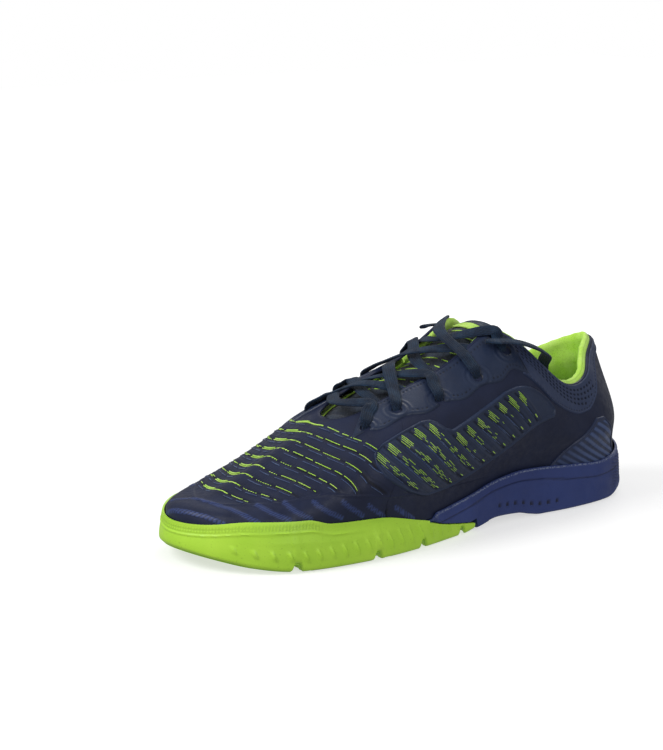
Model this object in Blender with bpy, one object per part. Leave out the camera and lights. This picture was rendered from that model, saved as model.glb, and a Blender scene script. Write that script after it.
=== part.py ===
"""Left indoor court shoe: cupped rubber outsole, foam midsole, laced low-cut upper and padded collar.

World frame: +Z up, toe towards -Y, outer (lateral) side of the foot towards +X, tread resting on z = 0.
Design values are in millimetres and become metres when a mesh is made.
The upper is one loft, surface(u, w): u runs round the shoe from the toe (0) by the lateral side and the
heel (HEEL) back to the toe, and w runs up from the feather line (0) to the edge of the opening (1).
"""
import math

import bmesh
import bpy
import numpy as np

MM = 0.001
GAP = 0.3
LAYER_GAP = 0.6
TOE_Y, HEEL_Y = -149.0, 149.0
SOLE_LIP = 3.5
PANEL = 1.4
OUTSOLE = 4.0
BOARD = 1.2
SOCK = 4.0
LINING = 0.8
STIFF = 1.0
LINING_TOP = 0.985
COUNTER_TOP = 0.5
PAD_DEPTH = 4.2
OVERLAY = 0.7
LACE_RADIUS = 1.5

# One row a station: sole edge (x, y), then the upper's lower, shoulder and opening points (x, y, z).
LATERAL = [
    ((-6, -149), (-4, -128, 32), (-1, -93, 47.5), (0, -54, 64.5)),
    ((16, -143), (11, -122, 32.5), (7, -89, 48.5), (5, -54.5, 65)),
    ((33, -129), (26, -110, 34.5), (18, -80, 50.5), (10, -52, 66)),
    ((46.5, -106), (39.5, -92, 35.5), (28, -67, 53.5), (14, -44, 68.5)),
    ((52.5, -72), (48, -65, 38), (36, -48, 59), (15, -30, 73.5)),
    ((51, -34), (50, -30, 40), (40, -20, 64), (16, -10, 80)),
    ((43, 4), (45, 4, 41), (40, 6, 68), (16.5, 9, 86.5)),
    ((38, 36), (42, 34, 46), (39, 32, 75), (18, 29, 97.5)),
    ((37, 62), (40.5, 58, 49), (37, 52, 78), (21, 44, 103)),
    ((38, 80), (40, 76, 44), (37, 71, 66), (31, 63, 88)),
    ((37.5, 98), (39, 95, 40), (36, 91, 56), (32, 86, 70)),
    ((34, 118), (35, 116, 41), (32, 112, 57), (27, 105, 72.5)),
    ((22, 138), (21, 133.5, 44), (18, 128.5, 62), (15, 118, 81)),
    ((0, 149), (0, 145, 43), (0, 139.5, 65), (0, 132.5, 87)),
]
MEDIAL = [
    ((-20, 140), (-20, 134.5, 44), (-18, 129, 62), (-15, 118, 82)),
    ((-33, 121), (-34, 118, 41), (-31, 113, 57), (-27, 105, 74)),
    ((-36, 100), (-37, 97, 40), (-34, 92, 57), (-31, 86, 72)),
    ((-34, 80), (-36, 76, 45), (-34, 71, 68), (-30, 63, 89)),
    ((-31, 60), (-34.5, 57, 50), (-33, 51, 78), (-21, 44, 103)),
    ((-29, 34), (-34, 34, 48), (-34, 32, 76), (-18, 28, 97)),
    ((-33, 2), (-38, 3, 43), (-36, 5, 70), (-16.5, 8, 86.5)),
    ((-43, -34), (-43, -30, 41), (-37, -20, 65), (-16, -11, 80)),
    ((-51, -72), (-46, -63, 38), (-35, -46, 58.5), (-14.5, -31, 73.5)),
    ((-50, -104), (-43, -89, 34.5), (-29, -65, 52), (-13, -44, 68.5)),
    ((-38, -131), (-32, -110, 32.5), (-19, -79, 48.5), (-9, -52, 66)),
    ((-24, -144), (-18, -121, 31.5), (-9, -88, 47), (-4.5, -54.5, 65)),
]
STATIONS = LATERAL + MEDIAL
ROUND = len(STATIONS)
HEEL = len(LATERAL) - 1

# Heights along the shoe, as (y, z).
TREAD = [(-149, 9), (-140, 6.5), (-125, 2.6), (-108, 0.3), (-100, 0), (5, 0), (18, 1.8), (32, 4), (48, 3.2),
         (65, 0), (118, 0), (130, 2), (140, 6), (149, 12.5)]
HEEL_RUBBER = [(26, 4), (118, 4), (149, 2.4)]
FEATHER = [(-149, 19), (-120, 15), (-60, 13), (0, 14), (40, 17), (100, 18), (149, 20)]
GREEN_TOP = [(-149, 22), (-125, 25.5), (-100, 25.5), (-86, 22.5), (-57, 21), (-30, 14.8), (-12, 9.5), (14, 4.5)]
BLUE_TOP = [(-30, 15), (-8, 17), (14, 20), (32, 24), (55, 26.5), (93, 24), (110, 22.5), (122, 23), (149, 27)]
SPINE_X = [(-105, 0), (-70, 1.5), (-30, 3.5), (20, 5), (60, 3), (112, 0)]
SPINE_FRONT, SPINE_BACK = -105.0, 112.0
SPINE_STEP = 15.5
ACROSS = (-22, -10)
BRIM_START = (-20.0, -16.0)
U_STEP, W_STEP = 0.5, 0.125
W_KNOTS = np.array([0.0, 0.14, 0.4, 0.7, 1.0])
FOXING_RISE, FOXING_LEAN = 9.0, 1.2
GREEN_END = 14.0
HEEL_START = 26.0


def reset():
    for item in list(bpy.data.objects):
        bpy.data.objects.remove(item, do_unlink=True)


def along(points, y):
    """Height at y on a smooth line through (y, z) points that never overshoots them."""
    knots, values = (np.array(axis, dtype=float) for axis in zip(*points))
    step = np.diff(knots)
    rise = np.diff(values) / step
    slope = np.zeros(len(knots))
    same = rise[:-1] * rise[1:] > 0
    slope[1:-1][same] = 2 * rise[:-1][same] * rise[1:][same] / (rise[:-1] + rise[1:])[same]
    slope[0], slope[-1] = rise[0], rise[-1]
    y = np.clip(y, knots[0], knots[-1])
    i = np.clip(np.searchsorted(knots, y, side="right") - 1, 0, len(step) - 1)
    f = (y - knots[i]) / step[i]
    return (values[i] * (1 + 2 * f) * (1 - f) ** 2 + values[i + 1] * f * f * (3 - 2 * f)
            + step[i] * (slope[i] * f * (1 - f) ** 2 - slope[i + 1] * f * f * (1 - f)))


def closed_slopes(values):
    """Slopes that make a closed cubic through the rows of values smooth."""
    count = len(values)
    system = 4 * np.eye(count) + np.roll(np.eye(count), 1, 0) + np.roll(np.eye(count), -1, 0)
    return np.linalg.solve(system, 3 * (np.roll(values, -1, 0) - np.roll(values, 1, 0)))


def closed_curve(curve, at):
    """Point at parameter at (0 to the row count) of a closed curve given as (rows, slopes)."""
    values, slope = curve
    count = len(values)
    at = np.asarray(at, dtype=float)
    i = np.floor(at).astype(int) % count
    j = (i + 1) % count
    f = (at - np.floor(at))[..., None]
    return (values[i] * (1 + 2 * f) * (1 - f) ** 2 + values[j] * f * f * (3 - 2 * f)
            + slope[i] * f * (1 - f) ** 2 - slope[j] * f * f * (1 - f))


def ease(low, high, value):
    """Smooth step from 0 at low to 1 at high."""
    f = min(1.0, max(0.0, (value - low) / (high - low)))
    return f * f * (3 - 2 * f)


def spine(y):
    """Middle line of the sole, which the ends of toe and heel fan out from."""
    y = min(SPINE_BACK, max(SPINE_FRONT, y))
    return np.array([float(along(SPINE_X, y)), y])


def low_rows():
    """The upper's two lowest rows: the sole edge moved in by the sole's lip, and the same higher up."""
    feather, foxing = [], []
    for edge, *_ in STATIONS:
        edge = np.array(edge, dtype=float)
        inward = spine(edge[1]) - edge
        inward /= np.linalg.norm(inward)
        point = edge + inward * SOLE_LIP
        height = float(along(FEATHER, point[1]))
        feather.append([*point, height])
        foxing.append([*(point + inward * FOXING_LEAN), height + FOXING_RISE])
    return [np.array(feather), np.array(foxing)]


ROWS = low_rows() + [np.array([station[k] for station in STATIONS], dtype=float) for k in (1, 2, 3)]
ROWS = [(row, closed_slopes(row)) for row in ROWS]


def knot_slopes(knots):
    """Matrix that gives a natural cubic's slopes at its knots from its values there."""
    step = np.diff(knots)
    count = len(knots)
    system, right = np.zeros((count, count)), np.zeros((count, count))
    system[0, :2], right[0, :2] = (2, 1), np.array([-3, 3]) / step[0]
    system[-1, -2:], right[-1, -2:] = (1, 2), np.array([-3, 3]) / step[-1]
    for i in range(1, count - 1):
        before, after = 1 / step[i - 1], 1 / step[i]
        system[i, i - 1:i + 2] = (before, 2 * (before + after), after)
        right[i, i - 1:i + 2] = 3 * np.array([-before ** 2, before ** 2 - after ** 2, after ** 2])
    return np.linalg.solve(system, right)


W_SLOPES = knot_slopes(W_KNOTS)


def row_weights(w):
    """How much each row counts at height w on the upper."""
    i = np.clip(np.searchsorted(W_KNOTS, w, side="right") - 1, 0, len(W_KNOTS) - 2)
    step = (W_KNOTS[i + 1] - W_KNOTS[i])[..., None]
    f = (w[..., None] - W_KNOTS[i][..., None]) / step
    unit = np.eye(len(W_KNOTS))
    return (unit[i] * (1 + 2 * f) * (1 - f) ** 2 + unit[i + 1] * f * f * (3 - 2 * f)
            + step * (W_SLOPES[i] * f * (1 - f) ** 2 - W_SLOPES[i + 1] * f * f * (1 - f)))


def surface(u, w):
    """Point on the outside of the upper."""
    weights = row_weights(np.asarray(w, dtype=float))
    return sum(closed_curve(row, u) * weights[..., k, None] for k, row in enumerate(ROWS))


def offset(u, w, out):
    """Point at distance out from the upper's outside; negative goes into the shoe."""
    u, w = np.broadcast_arrays(np.asarray(u, dtype=float), np.asarray(w, dtype=float))
    d = 0.01
    low, high = np.clip(w - d, 0, 1), np.clip(w + d, 0, 1)
    normal = np.cross(surface(u + d, w) - surface(u - d, w), surface(u, high) - surface(u, low))
    normal /= np.linalg.norm(normal, axis=-1, keepdims=True)
    return surface(u, w) + normal * np.asarray(out, dtype=float)[..., None]


def w_at(u, z, most=1.0):
    """How far up the upper (w) a height z is reached at u."""
    w = np.linspace(0, most, 60)
    return float(np.interp(z, np.maximum.accumulate(surface(np.full(60, u), w)[:, 2]), w))


def u_at(y, medial=False):
    """Where round the shoe (u) the feather line passes y."""
    u = np.linspace(0, HEEL, 200) if not medial else np.linspace(ROUND, HEEL, 200)
    return float(np.interp(y, np.maximum.accumulate(closed_curve(ROWS[0], u % ROUND)[:, 1]), u))


def wall(u, z, out):
    """Point at height z on the side of the sole, out from the upper that stands in it."""
    base = closed_curve(ROWS[0], u)
    if z >= base[2]:
        return offset(u, w_at(u, z, 0.6), out)
    outward = base[:2] - spine(base[1])
    outward /= np.linalg.norm(outward)
    return np.array([*(base[:2] + outward * out), z])


def grid(low, high, step):
    """Values from low to high through every whole multiple of step, so neighbouring sheets share facets."""
    inside = np.arange(math.ceil(low / step), math.floor(high / step) + 1) * step
    inside = [value for value in inside if low + step / 6 < value < high - step / 6]
    return [low, *inside, high]


def columns(front, back, stops=()):
    """(u, spine point) pairs round the part of the sole between front and back, and whether they close."""
    side = [y for y in np.arange(SPINE_FRONT, SPINE_BACK + 1, SPINE_STEP) if front < y < back]
    side = sorted([y for y in side if all(abs(y - stop) > 3 for stop in stops)] + list(stops))
    if front > SPINE_FRONT:
        side.insert(0, front)
    if back < SPINE_BACK:
        side.append(back)
    lateral = [(u_at(y), spine(y)) for y in side]
    medial = [(u_at(y, medial=True), spine(y)) for y in reversed(side)]
    toe, heel = [], []
    if front <= SPINE_FRONT:
        fan = grid(medial[-1][0] - ROUND, lateral[0][0], U_STEP)[1:-1]
        toe = [(u % ROUND, spine(SPINE_FRONT)) for u in fan]
    if back >= SPINE_BACK:
        fan = grid(lateral[-1][0], medial[0][0], U_STEP)[1:-1]
        heel = [(u, spine(SPINE_BACK)) for u in fan]
    if toe and not heel:
        return [*medial, *toe, *lateral], False
    return [*lateral, *heel, *medial, *toe], bool(toe and heel)


def new_object(name, data, finish):
    item = bpy.data.objects.new(name, data)
    item.data.materials.append(finish)
    shoe_collection.objects.link(item)
    return item


def to_mesh(name, rings, closed, finish, sheet=False):
    """Closed solid from rings of points: sides between neighbours, caps on the two ends."""
    mesh = bmesh.new()
    verts = [[mesh.verts.new([c * MM for c in point]) for point in ring] for ring in rings]
    count = len(verts)
    for i in range(count if closed else count - 1):
        here, there = verts[i], verts[(i + 1) % count]
        for k in range(len(here) - 1):
            mesh.faces.new((here[k], there[k], there[k + 1], here[k + 1]))
    for end in () if closed else (verts[0], verts[-1]):
        if sheet:
            half = (len(end) - 1) // 2
            for k in range(half - 1):
                mesh.faces.new((end[k], end[k + 1], end[-3 - k], end[-2 - k]))
        else:
            mesh.faces.new(end)
    bmesh.ops.remove_doubles(mesh, verts=mesh.verts, dist=1e-6)
    bmesh.ops.recalc_face_normals(mesh, faces=mesh.faces)
    if mesh.calc_volume(signed=True) < 0:
        bmesh.ops.reverse_faces(mesh, faces=mesh.faces)
    data = bpy.data.meshes.new(name)
    mesh.to_mesh(data)
    mesh.free()
    data.shade_smooth()
    data.set_sharp_from_angle(angle=math.radians(35))
    return new_object(name, data, finish)


def sole_piece(name, front, back, profile, finish, stops=()):
    """A piece of the sole from half sections that run from the spine out and back to the spine."""
    places, closed = columns(front, back, stops)
    return to_mesh(name, [profile(u, middle) for u, middle in places], closed, finish)


def patch(name, u_range, w_low, w_high, inner, outer, finish, rows=0):
    """A sheet of the upper between two depths; limits and depths are numbers or functions of (u[, w])."""
    def value(rule, *at):
        return rule(*at) if callable(rule) else rule
    rings = []
    for u in grid(*u_range, U_STEP):
        low, high = value(w_low, u), value(w_high, u)
        w = np.linspace(low, high, rows + 1) if rows else np.array(grid(low, high, W_STEP))
        outside = offset(u, w, [value(outer, u, x) for x in w])
        inside = offset(u, w, [value(inner, u, x) for x in w])
        rings.append([*outside, *inside[::-1], outside[0]])
    return to_mesh(name, rings, False, finish, sheet=True)


def material(name, colour, roughness, metallic=0.0):
    finish = bpy.data.materials.new(name)
    finish.use_nodes = True
    shader = finish.node_tree.nodes["Principled BSDF"]
    shader.inputs["Base Color"].default_value = (*colour, 1.0)
    shader.inputs["Roughness"].default_value = roughness
    shader.inputs["Metallic"].default_value = metallic
    finish.diffuse_color = (*colour, 1.0)
    return finish


# ---------------------------------------------------------------- sole

def level(u, out, heights, lift):
    """Point over the sole, out from the upper's foot, at a lift over a line of heights along the shoe."""
    x, y, _ = wall(u, 0, out)
    return np.array([x, y, float(along(heights, y)) + lift])


def across(u, middle, heights, lift, edge=None):
    """Points from the spine outwards on a line of heights."""
    points = [np.array([*middle, float(along(heights, middle[1])) + lift])]
    points += [level(u, out, heights, lift) for out in ACROSS]
    return points + ([level(u, edge, heights, lift)] if edge is not None else [])


def forefoot_profile(u, middle):
    foot = closed_curve(ROWS[0], u)
    ground = level(u, SOLE_LIP, TREAD, 0)[2]
    top = max(float(along(GREEN_TOP, foot[1])), ground + 3.5)
    cupped = ease(0, 2.5, top - foot[2])
    thin = SOLE_LIP - 1.7 * cupped
    lift = min(OUTSOLE, top - GAP - ground)
    floor = level(u, GAP, TREAD, lift)
    step = min(foot[2], top - 0.1)
    outer = [wall(u, ground + (top - ground) * f, SOLE_LIP) for f in (0.2, 0.6)]
    inner = [wall(u, step + (top - step) * f, LAYER_GAP) for f in (0.9, 0.45, 0.0)]
    return [*across(u, middle, TREAD, 0, SOLE_LIP - 2.5), *outer, wall(u, top, thin), wall(u, top, LAYER_GAP),
            *inner, floor, *across(u, middle, TREAD, lift)[::-1]]


def heel_rubber(y):
    return float(along(HEEL_RUBBER, y))


def heel_profile(u, middle):
    edge = level(u, 2.8, TREAD, 0)
    top = [level(u, out, TREAD, 0) for out in (2.8, *ACROSS[::-1])]
    top = [point + (0, 0, heel_rubber(point[1])) for point in top]
    return [*across(u, middle, TREAD, 0, 0.8), wall(u, edge[2] + 1.0, 2.4), *top,
            np.array([*middle, float(along(TREAD, middle[1])) + heel_rubber(middle[1])])]


def midsole_profile(u, middle):
    foot = closed_curve(ROWS[0], u)
    y = foot[1]

    def under(point_y):
        if y > HEEL_START - 1:
            return heel_rubber(point_y) + 4 * GAP
        return OUTSOLE + GAP if y < GREEN_END + 2 else 0.0

    seen = ease(*BRIM_START, y)
    out_low = SOLE_LIP if y > GREEN_END + 2 else 0.0
    out_high = SOLE_LIP if y > GREEN_END + 2 else SOLE_LIP * seen
    bottom = [level(u, out, TREAD, 0) for out in (*ACROSS, out_low - 1.5, out_low)]
    bottom = [point + (0, 0, under(point[1])) for point in bottom]
    low = bottom[-1][2]
    cover = low + 1.5 if y > GREEN_END + 2 else max(float(along(GREEN_TOP, y)) + GAP, low + 1.0)
    cover = min(cover, foot[2] - 1.0)
    low = min(low + 0.5, cover - 0.3)
    top = (1 - seen) * (foot[2] - 0.5) + seen * float(along(BLUE_TOP, y))
    inside = seen * 4 * GAP - (1 - seen) * GAP
    brim = [wall(u, top - 0.3, (4 * GAP + 1.2) * seen), wall(u, top, inside)]
    return [np.array([*middle, float(along(TREAD, middle[1])) + under(middle[1])]), *bottom[:-1],
            wall(u, low, out_low), wall(u, cover, out_low), wall(u, cover + 0.3, out_high), *brim,
            wall(u, foot[2] - LAYER_GAP, inside), *across(u, middle, FEATHER, -LAYER_GAP, -2.2)[::-1]]


def board_profile(depth, above, thick):
    """Flat board in the foot of the upper: its edge lies at a depth inside the leaning wall."""
    def profile(u, middle):
        foot = closed_curve(ROWS[0], u)
        edge = offset(u, w_at(u, foot[2] + above + thick + depth / 2), -depth)
        low, high = (np.array([*edge[:2], float(along(FEATHER, edge[1])) + lift])
                     for lift in (above, above + thick))
        return [*across(u, middle, FEATHER, above), low, high, *across(u, middle, FEATHER, above + thick)[::-1]]
    return profile


def make_sole(rubber, insert_rubber, foam, board, sock):
    outsole = sole_piece("outsole_forefoot", TOE_Y, GREEN_END, forefoot_profile, rubber, BRIM_START)
    cut_insert(outsole, insert_rubber)
    sole_piece("outsole_heel", HEEL_START, HEEL_Y, heel_profile, insert_rubber)
    stops = (*BRIM_START, GREEN_END + 1, GREEN_END + 3, HEEL_START - 2, HEEL_START - 0.6)
    sole_piece("midsole", TOE_Y, HEEL_Y, midsole_profile, foam, stops)
    sole_piece("strobel_board", TOE_Y, HEEL_Y, board_profile(PANEL + LAYER_GAP, 0, BOARD), board)
    sole_piece("sockliner", TOE_Y, HEEL_Y, board_profile(5.8, BOARD + GAP, SOCK), sock)


# ---------------------------------------------------------------- tread insert

INSERT_OUTLINE = [(-2, -104), (8, -90), (6, -78), (16, -66), (13, -52), (20, -40), (15, -26), (0, -14), (-16, -24),
                  (-24, -40), (-22, -60), (-16, -76), (-14, -92)]
INSERT_DEPTH = 2.4


def slab(name, outline, low, high, finish):
    mesh = bmesh.new()
    bottom = [mesh.verts.new((x * MM, y * MM, low * MM)) for x, y in outline]
    face = mesh.faces.new(bottom)
    side = bmesh.ops.extrude_face_region(mesh, geom=[face])
    moved = [item for item in side["geom"] if isinstance(item, bmesh.types.BMVert)]
    bmesh.ops.translate(mesh, verts=moved, vec=(0, 0, (high - low) * MM))
    bmesh.ops.recalc_face_normals(mesh, faces=mesh.faces)
    data = bpy.data.meshes.new(name)
    mesh.to_mesh(data)
    mesh.free()
    return new_object(name, data, finish)


def grown(outline, amount):
    """The outline moved outward by amount, seen from its middle."""
    centre = np.mean(outline, axis=0)
    moved = []
    for point in np.array(outline, dtype=float):
        away = point - centre
        moved.append(point + away / np.linalg.norm(away) * amount)
    return moved


def cut_insert(outsole, finish):
    """Black pivot insert in a pocket of the forefoot tread."""
    cutter = slab("insert_cutter", grown(INSERT_OUTLINE, 2 * GAP), -1.0, INSERT_DEPTH + GAP, finish)
    hide_guide(cutter)
    pocket = outsole.modifiers.new("pocket", "BOOLEAN")
    pocket.operation = "DIFFERENCE"
    pocket.object = cutter
    slab("outsole_pivot_insert", INSERT_OUTLINE, 0.0, INSERT_DEPTH, finish)


def hide_guide(item):
    item.hide_render = True
    item.display_type = "WIRE"
    shoe_collection.objects.unlink(item)
    guide_collection.objects.link(item)


# ---------------------------------------------------------------- upper

QUARTER_FRONT = 4.5
SEAM = 0.015


def above_feather(u):
    """Lower limit of the inner pieces: clear above the board, more so at the leaning toe."""
    toe = ease(5.0, 2.5, min(u % ROUND, ROUND - u % ROUND))
    return w_at(u, closed_curve(ROWS[0], u)[2] + BOARD + 2 * LAYER_GAP + 1.6 * toe)


def pad(u, w):
    """Extra depth of the collar padding, full from the ankle to the heel and fading forward and down."""
    back = ease(7.6, 9.0, u) * ease(ROUND - 7.0, ROUND - 8.6, u)
    return PAD_DEPTH * back * ease(0.45, 0.75, w) * (1 - 0.55 * ease(0.85, 1.0, w))


def make_upper(skin, film, lining, foam, stiff):
    patch("vamp", (-QUARTER_FRONT, QUARTER_FRONT), 0.0, 1.0, -PANEL, 0.0, skin)
    patch("quarter_lateral", (QUARTER_FRONT + SEAM, HEEL - SEAM), 0.0, 1.0, -PANEL, 0.0, skin)
    patch("quarter_medial", (HEEL + SEAM, ROUND - QUARTER_FRONT - SEAM), 0.0, 1.0, -PANEL, 0.0, skin)
    foot = above_feather
    under = -PANEL - LAYER_GAP
    patch("toe_puff", (-2.5, 2.5), foot, 0.45, under - STIFF, under, stiff)
    patch("heel_counter", (HEEL - 3.0, HEEL + 3.0), foot, COUNTER_TOP, under - STIFF, under, stiff)
    deep = under - STIFF - LAYER_GAP
    patch("vamp_lining", (-6.0, 6.0), foot, LINING_TOP, deep - LINING, deep, lining)
    patch("collar_foam", (9.0, ROUND - 9.0), COUNTER_TOP + 0.02, 0.97, lambda u, w: deep + LAYER_GAP - pad(u, w),
          under, foam)
    patch("collar_lining", (6.0 + SEAM, ROUND - 6.0 - SEAM), foot, LINING_TOP,
          lambda u, w: deep - LINING - pad(u, w), lambda u, w: deep - pad(u, w), lining)
    over, top = LAYER_GAP, LAYER_GAP + OVERLAY
    for side in ("lateral", "medial"):
        mirror = (lambda u: u) if side == "lateral" else (lambda u: ROUND - u)

        def span(front, back, mirror=mirror):
            return tuple(sorted((mirror(front), mirror(back))))

        patch("eyestay_" + side, span(3.5, 8.0), lambda u: eyestay_low(mirror(u)), LINING_TOP, over, top, film, 3)
        patch("side_window_" + side, span(4.0, 8.5), lambda u: w_at(u, window_bottom(mirror(u))),
              lambda u: window_top(mirror(u)), over, top, film, 5)
        patch("heel_overlay_" + side, span(9.5, HEEL - SEAM), lambda u: w_at(u, heel_low(mirror(u))), 0.57,
              over, top, film, 4)
    patch("collar_panel", (9.0, ROUND - 9.0), 0.6, LINING_TOP, over, top, film)


def eyestay_low(u):
    return 0.80 - 0.03 * ease(5.0, 8.0, u)


def window_top(u):
    return eyestay_low(u) - 0.03


def window_bottom(u):
    """Height of the window's lower edge, which climbs towards the heel."""
    return 31 + 12 * ease(5.0, 8.6, u)


def heel_low(u):
    """Height just above the midsole's brim."""
    return float(along(BLUE_TOP, closed_curve(ROWS[0], u)[1])) + 3.0


# ---------------------------------------------------------------- tongue

TONGUE_STATIONS = (2.9, 4.3, 5.3, 6.3, 7.3, 8.05)
TONGUE_TOP = [(-18.5, 50, 99.5), (-10, 51.5, 102.5), (0, 52, 103.5), (10, 51.5, 102.5), (18.5, 50, 99.5)]
TONGUE_CROWN = (0.5, 1.5, 2.5, 3.0, 3.0, 3.0)
TONGUE_DEPTH = (5.4, 5.6, 5.6, 5.9, 6.8, 9.0)


def open_curve(points, at):
    """Catmull-Rom curve through points, read at 0 to len - 1."""
    points = np.array(points, dtype=float)
    i = int(min(max(math.floor(at), 0), len(points) - 2))
    f = at - i
    before = points[max(i - 1, 0)]
    after = points[min(i + 2, len(points) - 1)]
    here, there = points[i], points[i + 1]
    start, end = (there - before) / 2, (after - here) / 2
    return (here * (1 + 2 * f) * (1 - f) ** 2 + there * f * f * (3 - 2 * f)
            + start * f * (1 - f) ** 2 - end * f * f * (1 - f))


def tongue_section(u, crown, depth):
    """Five points across the tongue where the throat edge is at u."""
    lateral = offset(u, 0.9, -depth)
    medial = offset(ROUND - u, 0.9, -depth)
    lateral_edge = offset(u, 1.0, -depth)
    medial_edge = offset(ROUND - u, 1.0, -depth)
    centre = (lateral_edge + medial_edge) / 2 + np.array([0, 0, crown])
    return [medial, medial_edge, centre, lateral_edge, lateral]


TONGUE_ROWS = [tongue_section(*place) for place in zip(TONGUE_STATIONS, TONGUE_CROWN, TONGUE_DEPTH)]
TONGUE_ROWS.append([np.array(point, dtype=float) for point in TONGUE_TOP])


def tongue_point(p, q):
    """Outside of the tongue: p from 0 at its base to 1 at its top, q from -1 medial to 1 lateral."""
    line = [open_curve(row, (q + 1) * 2) for row in TONGUE_ROWS]
    return open_curve(line, p * (len(line) - 1))


def tongue_layer(name, outer, inner, p_range, q_most, count, finish):
    """One layer of the tongue between two depths below its outside."""
    d = 0.01
    rings = []
    for p in np.linspace(*p_range, count[0] + 1):
        outside, inside = [], []
        for q in np.linspace(-q_most, q_most, count[1] + 1):
            across = tongue_point(p, min(q + d, 1)) - tongue_point(p, max(q - d, -1))
            forward = tongue_point(min(p + d, 1), q) - tongue_point(max(p - d, 0), q)
            normal = np.cross(across, forward)
            normal /= np.linalg.norm(normal)
            point = tongue_point(p, q)
            outside.append(point - normal * outer)
            inside.append(point - normal * inner)
        rings.append(outside + inside[::-1] + [outside[0]])
    return to_mesh(name, rings, False, finish, sheet=True)


def make_tongue(skin, foam, lining):
    tongue_layer("tongue_face", 0.0, 1.0, (0.0, 1.0), 1.0, (10, 6), skin)
    tongue_layer("tongue_foam", 2.2, 3.8, (0.2, 0.9), 0.85, (7, 6), foam)
    tongue_layer("tongue_lining", 5.2, 6.0, (0.2, 1.0), 0.94, (8, 6), lining)
    tongue_layer("lace_keeper", -1.3, -0.5, (0.7, 0.8), 0.33, (1, 2), lining)


# ---------------------------------------------------------------- laces

def tube(name, points, radius, finish, spacing=6.0):
    """Smooth cord through its route's own points."""
    points = np.array(points, dtype=float)
    fine = np.array([open_curve(points, at) for at in np.linspace(0, len(points) - 1, 30 * len(points))])
    length = np.concatenate([[0], np.cumsum(np.linalg.norm(np.diff(fine, axis=0), axis=1))])
    places = np.linspace(0, length[-1], max(2, int(length[-1] / spacing)) + 1)
    route = np.stack([np.interp(places, length, fine[:, k]) for k in range(3)], axis=1)
    curve = bpy.data.curves.new(name, "CURVE")
    curve.dimensions = "3D"
    curve.bevel_depth = radius * MM
    curve.bevel_resolution = 2
    curve.use_fill_caps = True
    line = curve.splines.new("POLY")
    line.points.add(len(route) - 1)
    for item, point in zip(line.points, route):
        item.co = (*(point * MM), 1.0)
    return new_object(name, curve, finish)


# The laced stretch zigzags down from the medial top eyelet, across the throat and up to the lateral top one.
LACE_ROUTE = [
    (-24.5, 30.5, 98.8), (-19, 28.5, 101), (0, 22, 101), (18.5, 17.5, 94.7), (24.8, 13.8, 89.8), (19, 10.5, 91),
    (0, 5, 92), (-18.5, -1.5, 87.7), (-24, -5, 83.2), (-19, -8.3, 84.4), (0, -13, 85.5), (17.5, -19.5, 81.3),
    (23, -23, 77.5), (17.5, -26.5, 78.3), (0, -31, 79), (-15.5, -37.5, 75.2), (-20.5, -41.3, 71.3),
    (-14, -45.5, 71.4), (0, -47, 71.7), (14, -45.3, 71.7), (20.8, -41, 71.4), (15.5, -36.5, 75.3),
    (0, -31, 74.3), (-17, -26.5, 78.6), (-22.8, -23.7, 77.4), (-17.5, -20, 80.8), (0, -13, 80.8),
    (18, -7.5, 83.8), (24.2, -4, 82.8), (18.5, -0.5, 86.8), (0, 5, 87.3), (-18, 9.5, 90.8), (-24.5, 13, 89.8),
    (-18.5, 16.5, 94.2), (0, 22, 96.2), (18.5, 27.5, 100), (24.8, 31, 98.8)]
# The free ends go over the collar and lie inside the shoe.
LATERAL_END = [
    (26.1, 32, 98.6), (30, 38, 98.5), (34, 48, 97.5), (36, 58, 94), (35, 67, 89.5), (29, 73.5, 86),
    (22.5, 77, 80), (20.5, 80, 68), (20.5, 83, 54), (20.5, 86, 41), (19.5, 87, 31.5), (18, 80, 27),
    (15, 66, 26.4), (12, 50, 26), (12.5, 34, 25.2), (10, 18, 24)]
MEDIAL_END = [
    (-25.8, 31.6, 98.6), (-29, 37, 98.3), (-33, 47, 97), (-35, 57, 94.5), (-34, 66, 90.5), (-28, 73, 86.5),
    (-21.5, 77, 80), (-19.5, 81, 68), (-19.5, 85, 54), (-19.5, 90, 41), (-18.5, 94, 31.5), (-14, 102, 27),
    (-4, 109, 26.5), (7, 107, 26.5), (12, 98, 26.4), (7, 90, 26.4)]
AGLET_LENGTH = 16.0
AGLET_RADIUS = 1.7


def make_laces(cord, tip):
    tube("lace", LACE_ROUTE, LACE_RADIUS, cord)
    for side, route in (("lateral", LATERAL_END), ("medial", MEDIAL_END)):
        tube("lace_end_" + side, route, LACE_RADIUS, cord)
        last, before = np.array(route[-1], dtype=float), np.array(route[-2], dtype=float)
        along_end = (last - before) / np.linalg.norm(last - before)
        start = last + along_end * GAP
        tube("aglet_" + side, [start, start + along_end * AGLET_LENGTH], AGLET_RADIUS, tip, AGLET_LENGTH)


shoe_collection = bpy.data.collections.new("court_shoe")
guide_collection = bpy.data.collections.new("cutters")


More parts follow.
